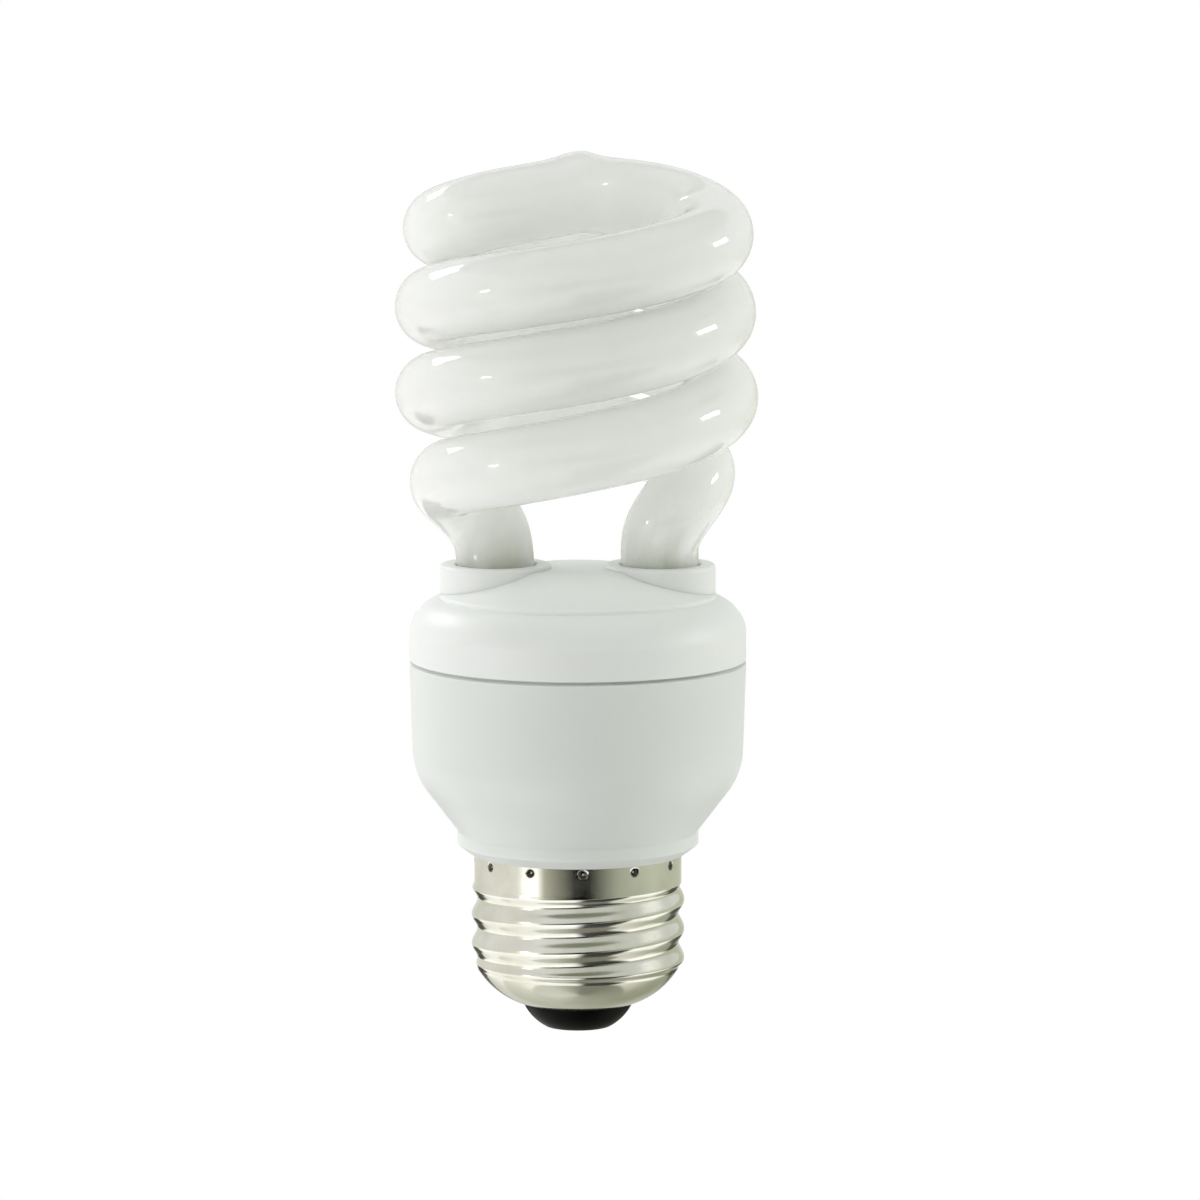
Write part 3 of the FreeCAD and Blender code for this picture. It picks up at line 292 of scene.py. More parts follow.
def arc_points(start, end, bulge, count):
    """Points of the arc from start to end through a middle that is a share of the way in r and in z."""
    a = np.array(start, float)
    c = np.array(end, float)
    b = a + np.array(bulge) * (c - a)
    turn = 2 * (a[0] * (b[1] - c[1]) + b[0] * (c[1] - a[1]) + c[0] * (a[1] - b[1]))
    squares = (a @ a, b @ b, c @ c)
    centre = np.array([
        squares[0] * (b[1] - c[1]) + squares[1] * (c[1] - a[1]) + squares[2] * (a[1] - b[1]),
        squares[0] * (c[0] - b[0]) + squares[1] * (a[0] - c[0]) + squares[2] * (b[0] - a[0]),
    ]) / turn
    angles = [math.atan2(p[1] - centre[1], p[0] - centre[0]) for p in (a, b, c)]
    sweep = np.unwrap(angles)
    swing = np.linspace(sweep[0], sweep[2], count)
    radius = np.linalg.norm(a - centre)
    return [(centre[0] + radius * math.cos(t), centre[1] + radius * math.sin(t)) for t in swing]


def rounded(corners, guard=0.12, step=math.radians(15)):
    """Closed outline with each corner (r, z, radius) rounded by an arc.

    A point a little before and after each arc keeps the flat stretches flat when they are shaded smooth.
    """
    points = []
    size = len(corners)
    for i in range(size):
        here = np.array(corners[i][:2], float)
        radius = corners[i][2] if len(corners[i]) > 2 else 0
        before = np.array(corners[i - 1][:2], float) - here
        after = np.array(corners[(i + 1) % size][:2], float) - here
        room = 0.45 * min(np.linalg.norm(before), np.linalg.norm(after))
        before = before / np.linalg.norm(before)
        after = after / np.linalg.norm(after)
        inner = math.acos(np.clip(before @ after, -1, 1))
        if radius == 0 or math.pi - inner < 0.01:
            points.append(tuple(here))
            continue
        reach = min(radius / math.tan(inner / 2), room)
        radius = reach * math.tan(inner / 2)
        start = here + before * reach
        end = here + after * reach
        centre = here + (before + after) / np.linalg.norm(before + after) * radius / math.sin(inner / 2)
        if guard < room - reach:
            points.append(tuple(start + before * guard))
        first = math.atan2(*(start - centre)[::-1])
        last = math.atan2(*(end - centre)[::-1])
        first, last = np.unwrap([first, last])
        pieces = max(2, math.ceil(abs(last - first) / step))
        for t in np.linspace(first, last, pieces + 1):
            points.append((centre[0] + radius * math.cos(t), centre[1] + radius * math.sin(t)))
        if guard < room - reach:
            points.append(tuple(end + after * guard))
    return points


def lathe(outline, around=AROUND, x=0.0):
    """Grid of an outline of (r, z) points turned about the upright line at x: (x + r cos a, r sin a, z)."""
    r, z = np.array(outline).T[:, :, None]
    angle = np.linspace(0, 2 * math.pi, around, endpoint=False)[None, :]
    return np.stack([x + r * np.cos(angle), r * np.sin(angle), z + 0 * angle], axis=-1)


# Glass tube


def strand_poles():
    """Poles of one strand's cubic spline: leg, bend, coil, and the way to the crossing's middle.

    The coil's poles stand on a circle wide enough that the spline runs at the coil's radius.
    """
    z = TURRET_TOP_Z
    poles = [(LEG_X, 0, SOCKET_LOW_Z), (LEG_X, 0, SOCKET_LOW_Z + 3), (LEG_X, 0, z - 2.2), (LEG_X, 0, z + 1.2)]
    poles += [(x, y, z + rise) for x, y, rise in BEND_POLES]
    shrink = (2 + math.cos(math.radians(COIL_STEP))) / 3
    steps = round((180 * COIL_HALF_TURNS - 90) / COIL_STEP)
    for i in range(steps + 1):
        rise = (45 + i * COIL_STEP) / 180
        radius = (COIL_RADIUS - COIL_TAPER * (1 - min(rise, 1)) ** 2) / shrink
        angle = rise * math.pi
        height = COIL_LOW_Z + COIL_HALF_PITCH * rise
        poles.append((radius * math.cos(angle), radius * math.sin(angle), height))
    poles += [(x, y, COIL_TOP_Z + rise) for x, y, rise in BRIDGE_POLES]
    return np.array(poles)


def spline(poles, per_run):
    """Uniform cubic B-spline through repeated end poles: each run blends four poles with the cubic basis."""
    poles = np.vstack([2 * poles[0] - poles[1], poles, 2 * poles[-1] - poles[-2]])
    t = np.linspace(0, 1, per_run, endpoint=False)[:, None]
    basis = np.hstack([
        (1 - t) ** 3,
        3 * t ** 3 - 6 * t ** 2 + 4,
        -3 * t ** 3 + 3 * t ** 2 + 3 * t + 1,
        t ** 3,
    ]) / 6
    windows = np.stack([poles[i:len(poles) - 3 + i] for i in range(4)], axis=1)
    line = np.einsum("ti,rik->rtk", basis, windows).reshape(-1, 3)
    return np.vstack([line, (poles[-3] + 4 * poles[-2] + poles[-1]) / 6])


def carried_frames(line):
    """Tangents, and a cross direction carried along the line without twist, by reflecting it at each step."""
    tangent = np.gradient(line, axis=0)
    tangent /= np.linalg.norm(tangent, axis=1)[:, None]
    across = np.empty_like(line)
    across[0] = (0, 1, 0)
    for i in range(len(line) - 1):
        step = line[i + 1] - line[i]
        share = 2 / (step @ step)
        side = across[i] - share * (step @ across[i]) * step
        lead = tangent[i] - share * (step @ tangent[i]) * step
        turn = tangent[i + 1] - lead
        size = turn @ turn
        across[i + 1] = side - (2 / size) * (turn @ side) * turn if size > 1e-12 else side
    return tangent, across


def stray(line):
    """Small shifts of the centre line: values per row of the coil, shared between its sides by x / radius."""
    x, y, z = line.T
    rows = COIL_LOW_Z + COIL_HALF_PITCH * np.arange(-1, 4)
    left = np.clip(0.5 - 0.5 * x / COIL_RADIUS, 0, 1)
    front = np.clip(-y / COIL_RADIUS, 0, 1)
    shift = left * np.interp(z, rows, (0, *LEFT_SHIFT)) + (1 - left) * np.interp(z, rows, (0, *RIGHT_SHIFT))
    rise = left * np.interp(z, rows, (0, *LEFT_RISE)) + front * np.interp(z, rows, (0, *FRONT_RISE))
    return line + np.stack([shift, 0 * y, rise], axis=1)


def tube_grid():
    """Ring after ring of the tube: p = line + radius (cos a across + sin a (tangent x across)).

    The ends draw in over the pinch. The crossing's top swells by height exp(-(d / reach)^2), steeper at +X.
    """
    up = strand_poles()
    down = up[::-1] * (-1, -1, 1)
    middle = np.array([[0, 0, COIL_TOP_Z + BRIDGE_MIDDLE]])
    line = stray(spline(np.vstack([up, middle, down]), RINGS_PER_POLE))
    tangent, across = carried_frames(line)
    binormal = np.cross(tangent, across)
    length = np.concatenate([[0], np.cumsum(np.linalg.norm(np.diff(line, axis=0), axis=1))])
    from_end = np.minimum(length, length[-1] - length)
    radius = TUBE_RADIUS * np.sqrt(1 - 0.9 * (1 - np.clip(from_end / PINCH_LENGTH, 0, 1)) ** 2)
    radius[[0, -1]] = 0
    angle = np.linspace(0, 2 * math.pi, TUBE_AROUND, endpoint=False)
    ring = np.cos(angle)[None, :, None] * across[:, None] + np.sin(angle)[None, :, None] * binormal[:, None]
    points = line[:, None] + radius[:, None, None] * ring
    reach = np.where(points[..., 0] > TIP_X, TIP_REACH_RIGHT, TIP_REACH_LEFT)
    away = ((points[..., 0] - TIP_X) / reach) ** 2 + (points[..., 1] / TIP_REACH_LEFT) ** 2
    crown = np.clip(ring[..., 2], 0, 1) ** 2
    on_top = points[..., 2] > COIL_TOP_Z + BRIDGE_RISE
    points[..., 2] += TIP_HEIGHT * np.exp(-away) * crown * on_top
    return points


def glass_tube():
    """The whole tube. Its attribute leg grows from 0 in the coil to 1 where a leg enters its socket."""
    piece = make_piece("glass_tube", [tube_grid()], closed_rows=False)
    thin_from = COIL_LOW_Z - 1.0
    mark(piece, "leg", lambda x, y, z: np.clip((thin_from - z) / (thin_from - TURRET_TOP_Z), 0, 1))
    return piece


# Screw shell and foot


def thread_offset(z, angle):
    """Radial offset of the rolled thread: half depth x cos(t + lean (1 - cos t)), with t = angle - climb.

    The lean makes the lower flank steeper. Below the thread the wall is at the root, above it halfway.
    """
    turn = angle - 2 * math.pi * (z - THREAD_LOW_Z) / THREAD_PITCH - THREAD_START
    wave = np.cos(turn + THREAD_LEAN * (1 - np.cos(turn)))
    rise = np.sin(0.5 * math.pi * np.clip((z - THREAD_LOW_Z) / THREAD_RUN_OUT, 0, 1)) ** 2
    fall = np.sin(0.5 * math.pi * np.clip((BAND_LOW_Z - z) / THREAD_RUN_OUT, 0, 1)) ** 2
    return THREAD_DEPTH / 2 * (wave * rise * fall + rise - 1)


def punch_offset(z, angle, mouth=PUNCH_MOUTH):
    """Crimp punches: rounded dents, depth x (1 - (d / mouth)^2)^1.5 inside the mouth."""
    pitch = 2 * math.pi / PUNCH_COUNT
    nearest = (angle - PUNCH_FIRST + pitch / 2) % pitch - pitch / 2
    d2 = (nearest * BAND_RADIUS) ** 2 + (z - (SHELL_TOP_Z - PUNCH_DROP)) ** 2
    return -PUNCH_DEPTH * np.clip(1 - d2 / mouth ** 2, 0, 1) ** 1.5


def pit_share(x, y, z):
    """How deep in a punch's painted shade a point is: the offset of a wider, lower punch over the punch's
    depth.
    """
    offset = punch_offset(z + DENT_SHADE_DROP, np.arctan2(y, x), DENT_SHADE_SPREAD * PUNCH_MOUTH)
    return offset / -PUNCH_DEPTH


def screw_shell():
    """Rolled shell: (r cos a, r sin a, z), where r is the turned line's radius + thread + punches.

    Its attribute pit is 1 in the middle of each punch and falls off over a wider spread round it. It masks
    the painted shade of the punches.
    """
    foot = (SHELL_FOOT_RADIUS, SHELL_FOOT_Z)
    top = (BAND_RADIUS - THREAD_DEPTH / 2, THREAD_LOW_Z)
    shoulder = arc_points(foot, top, SHELL_SHOULDER_BULGE, 26)
    shoulder = [(r + THREAD_DEPTH / 2, z) for r, z in shoulder]
    thread = [(BAND_RADIUS, z) for z in np.linspace(THREAD_LOW_Z, BAND_LOW_Z, 112)[1:]]
    band = [(BAND_RADIUS, z) for z in np.linspace(BAND_LOW_Z, SHELL_TOP_Z, 40)[1:]]
    outside = np.array(shoulder + thread + band)
    edge = [(BAND_RADIUS - SHELL_WALL / 3, SHELL_TOP_Z + 0.03), (BAND_RADIUS - SHELL_WALL, SHELL_TOP_Z)]
    angle = np.linspace(0, 2 * math.pi, SHELL_AROUND, endpoint=False)[None, :]
    r, z = outside.T[:, :, None]
    r = r + thread_offset(z, angle) + punch_offset(z, angle)
    outer = np.stack([r * np.cos(angle), r * np.sin(angle), z + 0 * angle], axis=-1)
    lip = lathe(edge, SHELL_AROUND)
    inner = outer[::-6].copy()
    plan = np.linalg.norm(inner[..., :2], axis=-1, keepdims=True)
    inner[..., :2] *= (plan - SHELL_WALL) / plan
    inner[..., 2] += SHELL_WALL * np.clip((THREAD_LOW_Z - inner[..., 2]) / SHELL_WALL, 0, 1)
    piece = make_piece("rolled_shell", [np.vstack([outer, lip, inner])])
    mark(piece, "pit", pit_share)
    return piece


def glass_foot():
    """Pressed foot: a bowl under the shell, a plug inside its shoulder, a bore and the contact's seat."""
    rim = (INSULATOR_RIM_RADIUS, INSULATOR_RIM_Z)
    mouth = (SHELL_FOOT_RADIUS, SHELL_FOOT_Z)
    bowl = arc_points(rim, mouth, INSULATOR_BULGE, 18)[1:]
    seat_edge = CONTACT_EDGE_Z + CONTACT_THICKNESS
    seat_centre = CONTACT_CENTRE_Z + CONTACT_THICKNESS
    plug_radius = SHELL_FOOT_RADIUS + PLUG_STEP
    corners = [
        (CONTACT_RADIUS, INSULATOR_RIM_Z, 0.12),
        (*rim, 0.25),
        *bowl,
        (SHELL_FOOT_RADIUS, SHELL_FOOT_Z + 1.1 * SHELL_WALL, 0.05),
        (plug_radius, INSULATOR_TOP_Z - 0.5, 0.3),
        (plug_radius, INSULATOR_TOP_Z, 0.2),
        (INSULATOR_BORE, INSULATOR_TOP_Z, 0.2),
        (INSULATOR_BORE, seat_centre + 0.05, 0.02),
        (CONTACT_RADIUS, seat_edge, 0.02),
    ]
    return make_piece("glass_foot", [lathe(rounded(corners))])


def contact_disc():
    """Stamped brass disc, dished towards its hole."""
    low, high = CONTACT_CENTRE_Z, CONTACT_CENTRE_Z + CONTACT_THICKNESS
    corners = [
        (CONTACT_HOLE, low, 0.05),
        (CONTACT_RADIUS - 0.9, CONTACT_EDGE_Z - 0.12, 0.6),
        (CONTACT_RADIUS, CONTACT_EDGE_Z, 0.14),
        (CONTACT_RADIUS, CONTACT_EDGE_Z + CONTACT_THICKNESS, 0.05),
        (CONTACT_HOLE, high, 0.05),
    ]
    return make_piece("contact_disc", [lathe(rounded(corners), 128)])


def solder_drop():
    """Drop of solder: flat foot, rounded side that creeps out on the disc, a little uneven round the rim."""
    slope = (CONTACT_EDGE_Z - CONTACT_CENTRE_Z) / (CONTACT_RADIUS - CONTACT_HOLE)
    edge_z = CONTACT_CENTRE_Z + slope * (SOLDER_RADIUS - CONTACT_HOLE)
    side = arc_points((SOLDER_FLAT, 0.0), (SOLDER_RADIUS, edge_z), (0.55, 0.3), 12)
    top = CONTACT_CENTRE_Z + CONTACT_THICKNESS
    outline = [(0, 0), (SOLDER_FLAT / 2, 0), *side, (CONTACT_HOLE, edge_z), (CONTACT_HOLE, top), (0, top)]
    grid = lathe(outline, 96)
    angle = np.linspace(0, 2 * math.pi, 96, endpoint=False)
    wobble = 1 + 0.05 * np.sin(3 * angle + 0.6) + 0.03 * np.sin(5 * angle)
    rows = slice(3, 2 + len(side))
    grid[rows, :, :2] *= wobble[None, :, None]
    return make_piece("solder_drop", [grid])


# Mouldings


def housing_moulding():
    """Turned outline of the lower moulding, each edge with the small radius that moulding leaves."""
    root_bore = BAND_RADIUS - SHELL_WALL - THREAD_DEPTH / 2
    band_bore = BAND_RADIUS - SHELL_WALL
    rim_low = SHELL_TOP_Z + RIM_CHAMFER
    rim_top = rim_low + RIM_HEIGHT
    cone_top = (CONE_TOP_RADIUS, rim_top + CONE_HEIGHT)
    curve_top = (CURVE_TOP_RADIUS, cone_top[1] + CURVE_HEIGHT)
    flank = arc_points(cone_top, curve_top, CURVE_BULGE, 22)
    spigot_low = SHELL_TOP_Z - SPIGOT_LENGTH
    seat_low = SEAM_Z - SKIRT_DEPTH - 0.1
    bore = BODY_RADIUS - HOUSING_WALL
    corners = [
        (root_bore - SPIGOT_GAP, spigot_low, 0.2),
        (root_bore - SPIGOT_GAP, BAND_LOW_Z, 0.05),
        (band_bore - SPIGOT_GAP, BAND_LOW_Z + SPIGOT_GAP, 0.05),
        (band_bore - SPIGOT_GAP, SHELL_TOP_Z, 0.05),
        (RIM_INNER, SHELL_TOP_Z, 0.2),
        (RIM_RADIUS, rim_low, 0.35),
        (RIM_RADIUS, rim_top, 0.25),
        (RIM_RADIUS - RIM_GROOVE, rim_top + RIM_GROOVE_HEIGHT / 2, 0.3),
        (RIM_RADIUS + RIM_GROOVE / 2, rim_top + RIM_GROOVE_HEIGHT, 0.25),
        *flank,
        (BODY_RADIUS, SEAM_Z - SEAM_CHAMFER, 0.1),
        (BODY_RADIUS - SEAM_DEPTH, SEAM_Z - SEAM_CHAMFER / 2, 0.05),
        (BODY_RADIUS - SEAM_DEPTH, SEAM_Z, 0.05),
        (bore, SEAM_Z, 0.1),
        (bore, seat_low, 0.1),
        (CURVE_TOP_RADIUS - HOUSING_WALL, seat_low, 0.1),
        (CURVE_TOP_RADIUS - HOUSING_WALL, curve_top[1], 0.5),
        (CONE_TOP_RADIUS - HOUSING_WALL, cone_top[1], 0.5),
        (RIM_RADIUS - HOUSING_WALL, rim_top + HOUSING_WALL / 2, 0.3),
        (NECK_BORE, rim_top - HOUSING_WALL / 2, 0.3),
        (NECK_BORE, spigot_low, 0.2),
    ]
    return make_piece("housing_moulding", [lathe(rounded(corners))])


def holder_body():
    """Turned outline of the cover: skirt, rim, rounded shoulder, step and shallow roof."""
    shoulder_low = (BODY_RADIUS, SEAM_Z + HOLDER_RIM)
    shoulder_top = (SHOULDER_RADIUS, shoulder_low[1] + SHOULDER_HEIGHT)
    step_top = shoulder_top[1] + STEP_HEIGHT
    roof_top = step_top + ROOF_RISE
    rim = BODY_RADIUS - HOLDER_WALL
    wall = HOLDER_WALL
    skirt_low = SEAM_Z - SKIRT_DEPTH
    corners = [
        (SKIRT_RADIUS, skirt_low, 0.1),
        (SKIRT_RADIUS, SEAM_Z, 0.05),
        (BODY_RADIUS - SEAM_DEPTH, SEAM_Z, 0.05),
        (BODY_RADIUS - SEAM_DEPTH, SEAM_Z + SEAM_CHAMFER / 2, 0.05),
        (BODY_RADIUS, SEAM_Z + SEAM_CHAMFER, 0.1),
        (BODY_RADIUS, SEAM_Z + HOLDER_RIM, 0.9),
        *arc_points(shoulder_low, shoulder_top, SHOULDER_BULGE, 24)[2:],
        (SHOULDER_RADIUS, step_top, 0.3),
        (ROOF_FLAT, roof_top, 1.6),
        (0, roof_top),
        (0, roof_top - wall),
        (ROOF_FLAT - wall / 2, roof_top - wall, 0.4),
        (SHOULDER_RADIUS - wall, shoulder_top[1] - wall / 2, 0.4),
        (rim, shoulder_low[1] - wall / 2, 0.4),
        (rim, SEAM_Z + wall, 0.2),
        (SKIRT_RADIUS - SKIRT_WALL, SEAM_Z + wall / 2, 0.2),
        (SKIRT_RADIUS - SKIRT_WALL, skirt_low, 0.1),
    ]
    return make_piece("holder_body", [lathe(rounded(corners))])


def leg_turret(x):
    """Turned socket round one leg: soft top edge, lip close to the glass, and the cement's well below it."""
    low = TURRET_TOP_Z - TURRET_DEPTH
    lip_low = TURRET_TOP_Z - SOCKET_LIP_HEIGHT
    corners = [
        (TURRET_RADIUS, low, 0.1),
        (TURRET_RADIUS, TURRET_TOP_Z, 0.45),
        (SOCKET_LIP, TURRET_TOP_Z, 0.3),
        (SOCKET_LIP, lip_low, 0.05),
        (SOCKET_WELL, lip_low, 0.05),
        (SOCKET_WELL, low, 0.05),
    ]
    return lathe(rounded(corners), 160, x)


def holder_moulding():
    """Cover with both sockets: the roof is opened inside each socket's wall, and the sockets stand in it."""
    cover = holder_body()
    well = (SOCKET_WELL + TURRET_RADIUS) / 2
    drill_outline = [(0, SEAM_Z), (well, SEAM_Z), (well, TURRET_TOP_Z + 1), (0, TURRET_TOP_Z + 1)]
    for x in (-LEG_X, LEG_X):
        drill = make_piece("drill", [lathe(drill_outline, 96, x)])
        opening = cover.modifiers.new("opening", "BOOLEAN")
        opening.operation = "DIFFERENCE"
        opening.solver = "EXACT"
        opening.object = drill
        apply_modifiers(cover)
        bpy.data.objects.remove(drill)
    turrets = make_piece("turrets", [leg_turret(-LEG_X), leg_turret(LEG_X)])
    work = bmesh.new()
    work.from_mesh(cover.data)
    work.from_mesh(turrets.data)
    mesh = bpy.data.meshes.new("holder_moulding")
    work.to_mesh(mesh)
    work.free()
    mesh.polygons.foreach_set("use_smooth", np.ones(len(mesh.polygons), bool))
    mesh.set_sharp_from_angle(angle=math.radians(40))
    bpy.data.objects.remove(cover)
    bpy.data.objects.remove(turrets)
    piece = bpy.data.objects.new("holder_moulding", mesh)
    bpy.context.scene.collection.objects.link(piece)
    return piece


def apply_modifiers(piece):
    """Keeps the shape that the modifiers give, and takes them off."""
    bpy.context.view_layer.update()
    shaped = piece.evaluated_get(bpy.context.evaluated_depsgraph_get())
    mesh = bpy.data.meshes.new_from_object(shaped)
    piece.modifiers.clear()
    piece.data = mesh


# Node helpers


def tone(hex_colour):
    """Linear colour from an sRGB hex value."""
    value = np.array([int(hex_colour[i:i + 2], 16) for i in (1, 3, 5)]) / 255
    linear = np.where(value <= 0.04045, value / 12.92, ((value + 0.055) / 1.055) ** 2.4)
    return (*linear.tolist(), 1.0)


def grey(level):
    return (level, level, level, 1.0)


def add(tree, kind, feeds=None, out=0, stops=(), **settings):
    """Adds a node and gives back one output. A feed is a value, or the output that it comes from.

    Stops are a ramp's (place, colour) pairs.
    """
    made = tree.nodes.new(kind)
    for key, value in settings.items():
        setattr(made, key, value)
    for socket, value in (feeds or {}).items():
        if isinstance(value, bpy.types.NodeSocket):
            tree.links.new(value, made.inputs[socket])
        else:
            made.inputs[socket].default_value = value
    for i, (place, colour) in enumerate(stops):
        ramp = made.color_ramp.elements
        element = ramp[i] if i < len(ramp) else ramp.new(place)
        element.position = place
        element.color = colour
    return made.outputs[out] if made.outputs else made


def new_material(name):
    """Empty material and its node tree."""
    material = bpy.data.materials.new(name)
    material.use_nodes = True
    tree = material.node_tree
    tree.nodes.clear()
    return material, tree


def millimetres(tree, stretch=(1, 1, 1)):
    """Object coordinates in millimetres. A stretch under 1 draws a pattern out along that axis."""
    scale = [s / MM for s in stretch]
    place = add(tree, "ShaderNodeTexCoord", out="Object")
    return add(tree, "ShaderNodeMapping", {"Vector": place, "Scale": scale})


# Materials. A noise's scale is 0.5 / the patch size in millimetres.


def coated_glass():
    """Soda glass tube with a phosphor coat on its inside wall: milky white, thinner and greyer in the legs.

    The clear wall gives sharp reflections. Towards the edges as seen, a paler band of painted reflection is
    mixed into the colour, and it ends in a thin grey outline of painted shade.
    """
    material, tree = new_material("phosphor_coated_glass")
    place = millimetres(tree)
    cloud = add(tree, "ShaderNodeTexNoise", {"Vector": place, "Scale": 0.5 / 5.0, "Detail": 3.0})
    coat = add(tree, "ShaderNodeValToRGB", {"Fac": cloud}, stops=[
        (0.35, tone("#EDEFE9")), (0.65, tone("#F2F3EF")),
    ])
    drawn = millimetres(tree, (1, 1, 0.12))
    streak = add(tree, "ShaderNodeTexNoise", {"Vector": drawn, "Scale": 0.5 / 1.3, "Detail": 3.0})
    thin = add(tree, "ShaderNodeValToRGB", {"Fac": streak}, stops=[
        (0.35, tone("#B4BAA9")), (0.65, tone("#D5D9CD")),
    ])
    leg = add(tree, "ShaderNodeAttribute", out="Fac", attribute_name="leg")
    bare = add(tree, "ShaderNodeMapRange", {"Value": leg, "From Min": 0.25, "From Max": 1.0, "To Max": 0.85})
    base = add(tree, "ShaderNodeMix", {0: bare, 6: coat, 7: thin}, out=2, data_type="RGBA")
    # Painted reflection and painted shade: by the view angle, a paler band towards the edges and a grey
    # outline at the silhouette
    facing = add(tree, "ShaderNodeLayerWeight", {"Blend": 0.5}, out="Facing")
    band = add(tree, "ShaderNodeValToRGB", {"Fac": facing}, stops=[
        (0.15, grey(0.0)), (0.42, grey(0.6)), (0.72, grey(0.7)), (0.86, grey(0.0)),
    ])
    pale = add(tree, "ShaderNodeMix", {0: band, 6: base, 7: tone("#F7F8F5")}, out=2, data_type="RGBA")
    line = add(tree, "ShaderNodeValToRGB", {"Fac": facing}, stops=[
        (0.8, grey(0.0)), (0.92, grey(0.5)), (1.0, grey(1.0)),
    ])
    colour = add(tree, "ShaderNodeMix", {0: line, 6: pale, 7: tone("#9DA099")}, out=2, data_type="RGBA")
    swell = add(tree, "ShaderNodeTexNoise", {"Vector": place, "Scale": 0.5 / 9.0, "Detail": 1.0})
    shader = add(tree, "ShaderNodeBsdfPrincipled", {
        "Base Color": colour, "Roughness": 0.035, "IOR": 1.5,
        "Subsurface Weight": 1.0, "Subsurface Radius": (1.0, 1.0, 1.0), "Subsurface Scale": 25.0 * MM,
        "Normal": add(tree, "ShaderNodeBump", {"Height": swell, "Distance": 0.05 * MM}),
    })
    add(tree, "ShaderNodeOutputMaterial", {"Surface": shader})
    return material


def moulded_white(name, low, high):
    """Injection-moulded PBT: off-white all through, a fine spark-eroded grain that softens its gloss.

    The real grain is about 0.05 mm. It is drawn at 0.3 mm so that it shows.
    """
    material, tree = new_material(name)
    place = millimetres(tree)
    cloud = add(tree, "ShaderNodeTexNoise", {"Vector": place, "Scale": 0.5 / 14.0, "Detail": 3.0})
    colour = add(tree, "ShaderNodeValToRGB", {"Fac": cloud}, stops=[(0.3, tone(low)), (0.7, tone(high))])
    wear = add(tree, "ShaderNodeTexNoise", {"Vector": place, "Scale": 0.5 / 4.0, "Detail": 4.0})
    fine = add(tree, "ShaderNodeTexNoise", {"Vector": place, "Scale": 0.5 / 0.3, "Detail": 3.0})
    shader = add(tree, "ShaderNodeBsdfPrincipled", {
        "Base Color": colour, "IOR": 1.5,
        "Roughness": add(tree, "ShaderNodeMapRange", {"Value": wear, "To Min": 0.34, "To Max": 0.5}),
        "Subsurface Weight": 0.3, "Subsurface Radius": (1.0, 1.0, 0.9), "Subsurface Scale": 1.0 * MM,
        "Normal": add(tree, "ShaderNodeBump", {"Height": fine, "Distance": 0.012 * MM, "Strength": 0.6}),
    })
    add(tree, "ShaderNodeOutputMaterial", {"Surface": shader})
    return material


def nickel_plate():
    """Rolled brass with bright nickel: mirror-like and warm grey, with fine lines round it and faint stains.

    The crimp punches are painted dark inside and a little below: painted shade in the dents.
    """
    material, tree = new_material("bright_nickel_plate")
    place = millimetres(tree)
    stain = add(tree, "ShaderNodeTexNoise", {"Vector": place, "Scale": 0.5 / 3.0, "Detail": 4.0})
    plate = add(tree, "ShaderNodeValToRGB", {"Fac": stain}, stops=[
        (0.42, tone("#DEDDD4")), (0.75, tone("#CBCABB")),
    ])
    pit = add(tree, "ShaderNodeAttribute", out="Fac", attribute_name="pit")
    # Painted shade: the plate is darkened to near black where the pit mask is high
    painted_dent_shade = add(tree, "ShaderNodeMapRange", {
        "Value": pit, "From Min": 0.02, "From Max": 0.3, "To Max": 0.95,
    })
    colour = add(tree, "ShaderNodeMix", {0: painted_dent_shade, 6: plate, 7: tone("#35362B")}, out=2, data_type="RGBA")
    haze = add(tree, "ShaderNodeTexNoise", {"Vector": place, "Scale": 0.5 / 1.5, "Detail": 4.0})
    rolled = millimetres(tree, (0.12, 0.12, 1.6))
    lines = add(tree, "ShaderNodeTexNoise", {"Vector": rolled, "Scale": 0.5 / 0.35})
    shader = add(tree, "ShaderNodeBsdfPrincipled", {
        "Base Color": colour, "Metallic": 1.0,
        "Roughness": add(tree, "ShaderNodeMapRange", {"Value": haze, "To Min": 0.08, "To Max": 0.2}),
        "Normal": add(tree, "ShaderNodeBump", {"Height": lines, "Distance": 0.006 * MM, "Strength": 0.5}),
    })
    add(tree, "ShaderNodeOutputMaterial", {"Surface": shader})
    return material


def black_glass():
    """Pressed vitrite: opaque black glass with a dull gloss, slightly rippled by the press."""
    material, tree = new_material("black_vitrite")
    place = millimetres(tree)
    cloud = add(tree, "ShaderNodeTexNoise", {"Vector": place, "Scale": 0.5 / 1.2, "Detail": 3.0})
    colour = add(tree, "ShaderNodeValToRGB", {"Fac": cloud}, stops=[
        (0.3, tone("#030303")), (0.7, tone("#060606")),
    ])
    ripple = add(tree, "ShaderNodeTexNoise", {"Vector": place, "Scale": 0.5 / 1.6})
    shader = add(tree, "ShaderNodeBsdfPrincipled", {
        "Base Color": colour, "IOR": 1.5, "Specular IOR Level": 0.05,
        "Roughness": add(tree, "ShaderNodeMapRange", {"Value": ripple, "To Min": 0.24, "To Max": 0.42}),
        "Normal": add(tree, "ShaderNodeBump", {"Height": ripple, "Distance": 0.05 * MM, "Strength": 0.6}),
    })
    add(tree, "ShaderNodeOutputMaterial", {"Surface": shader})
    return material


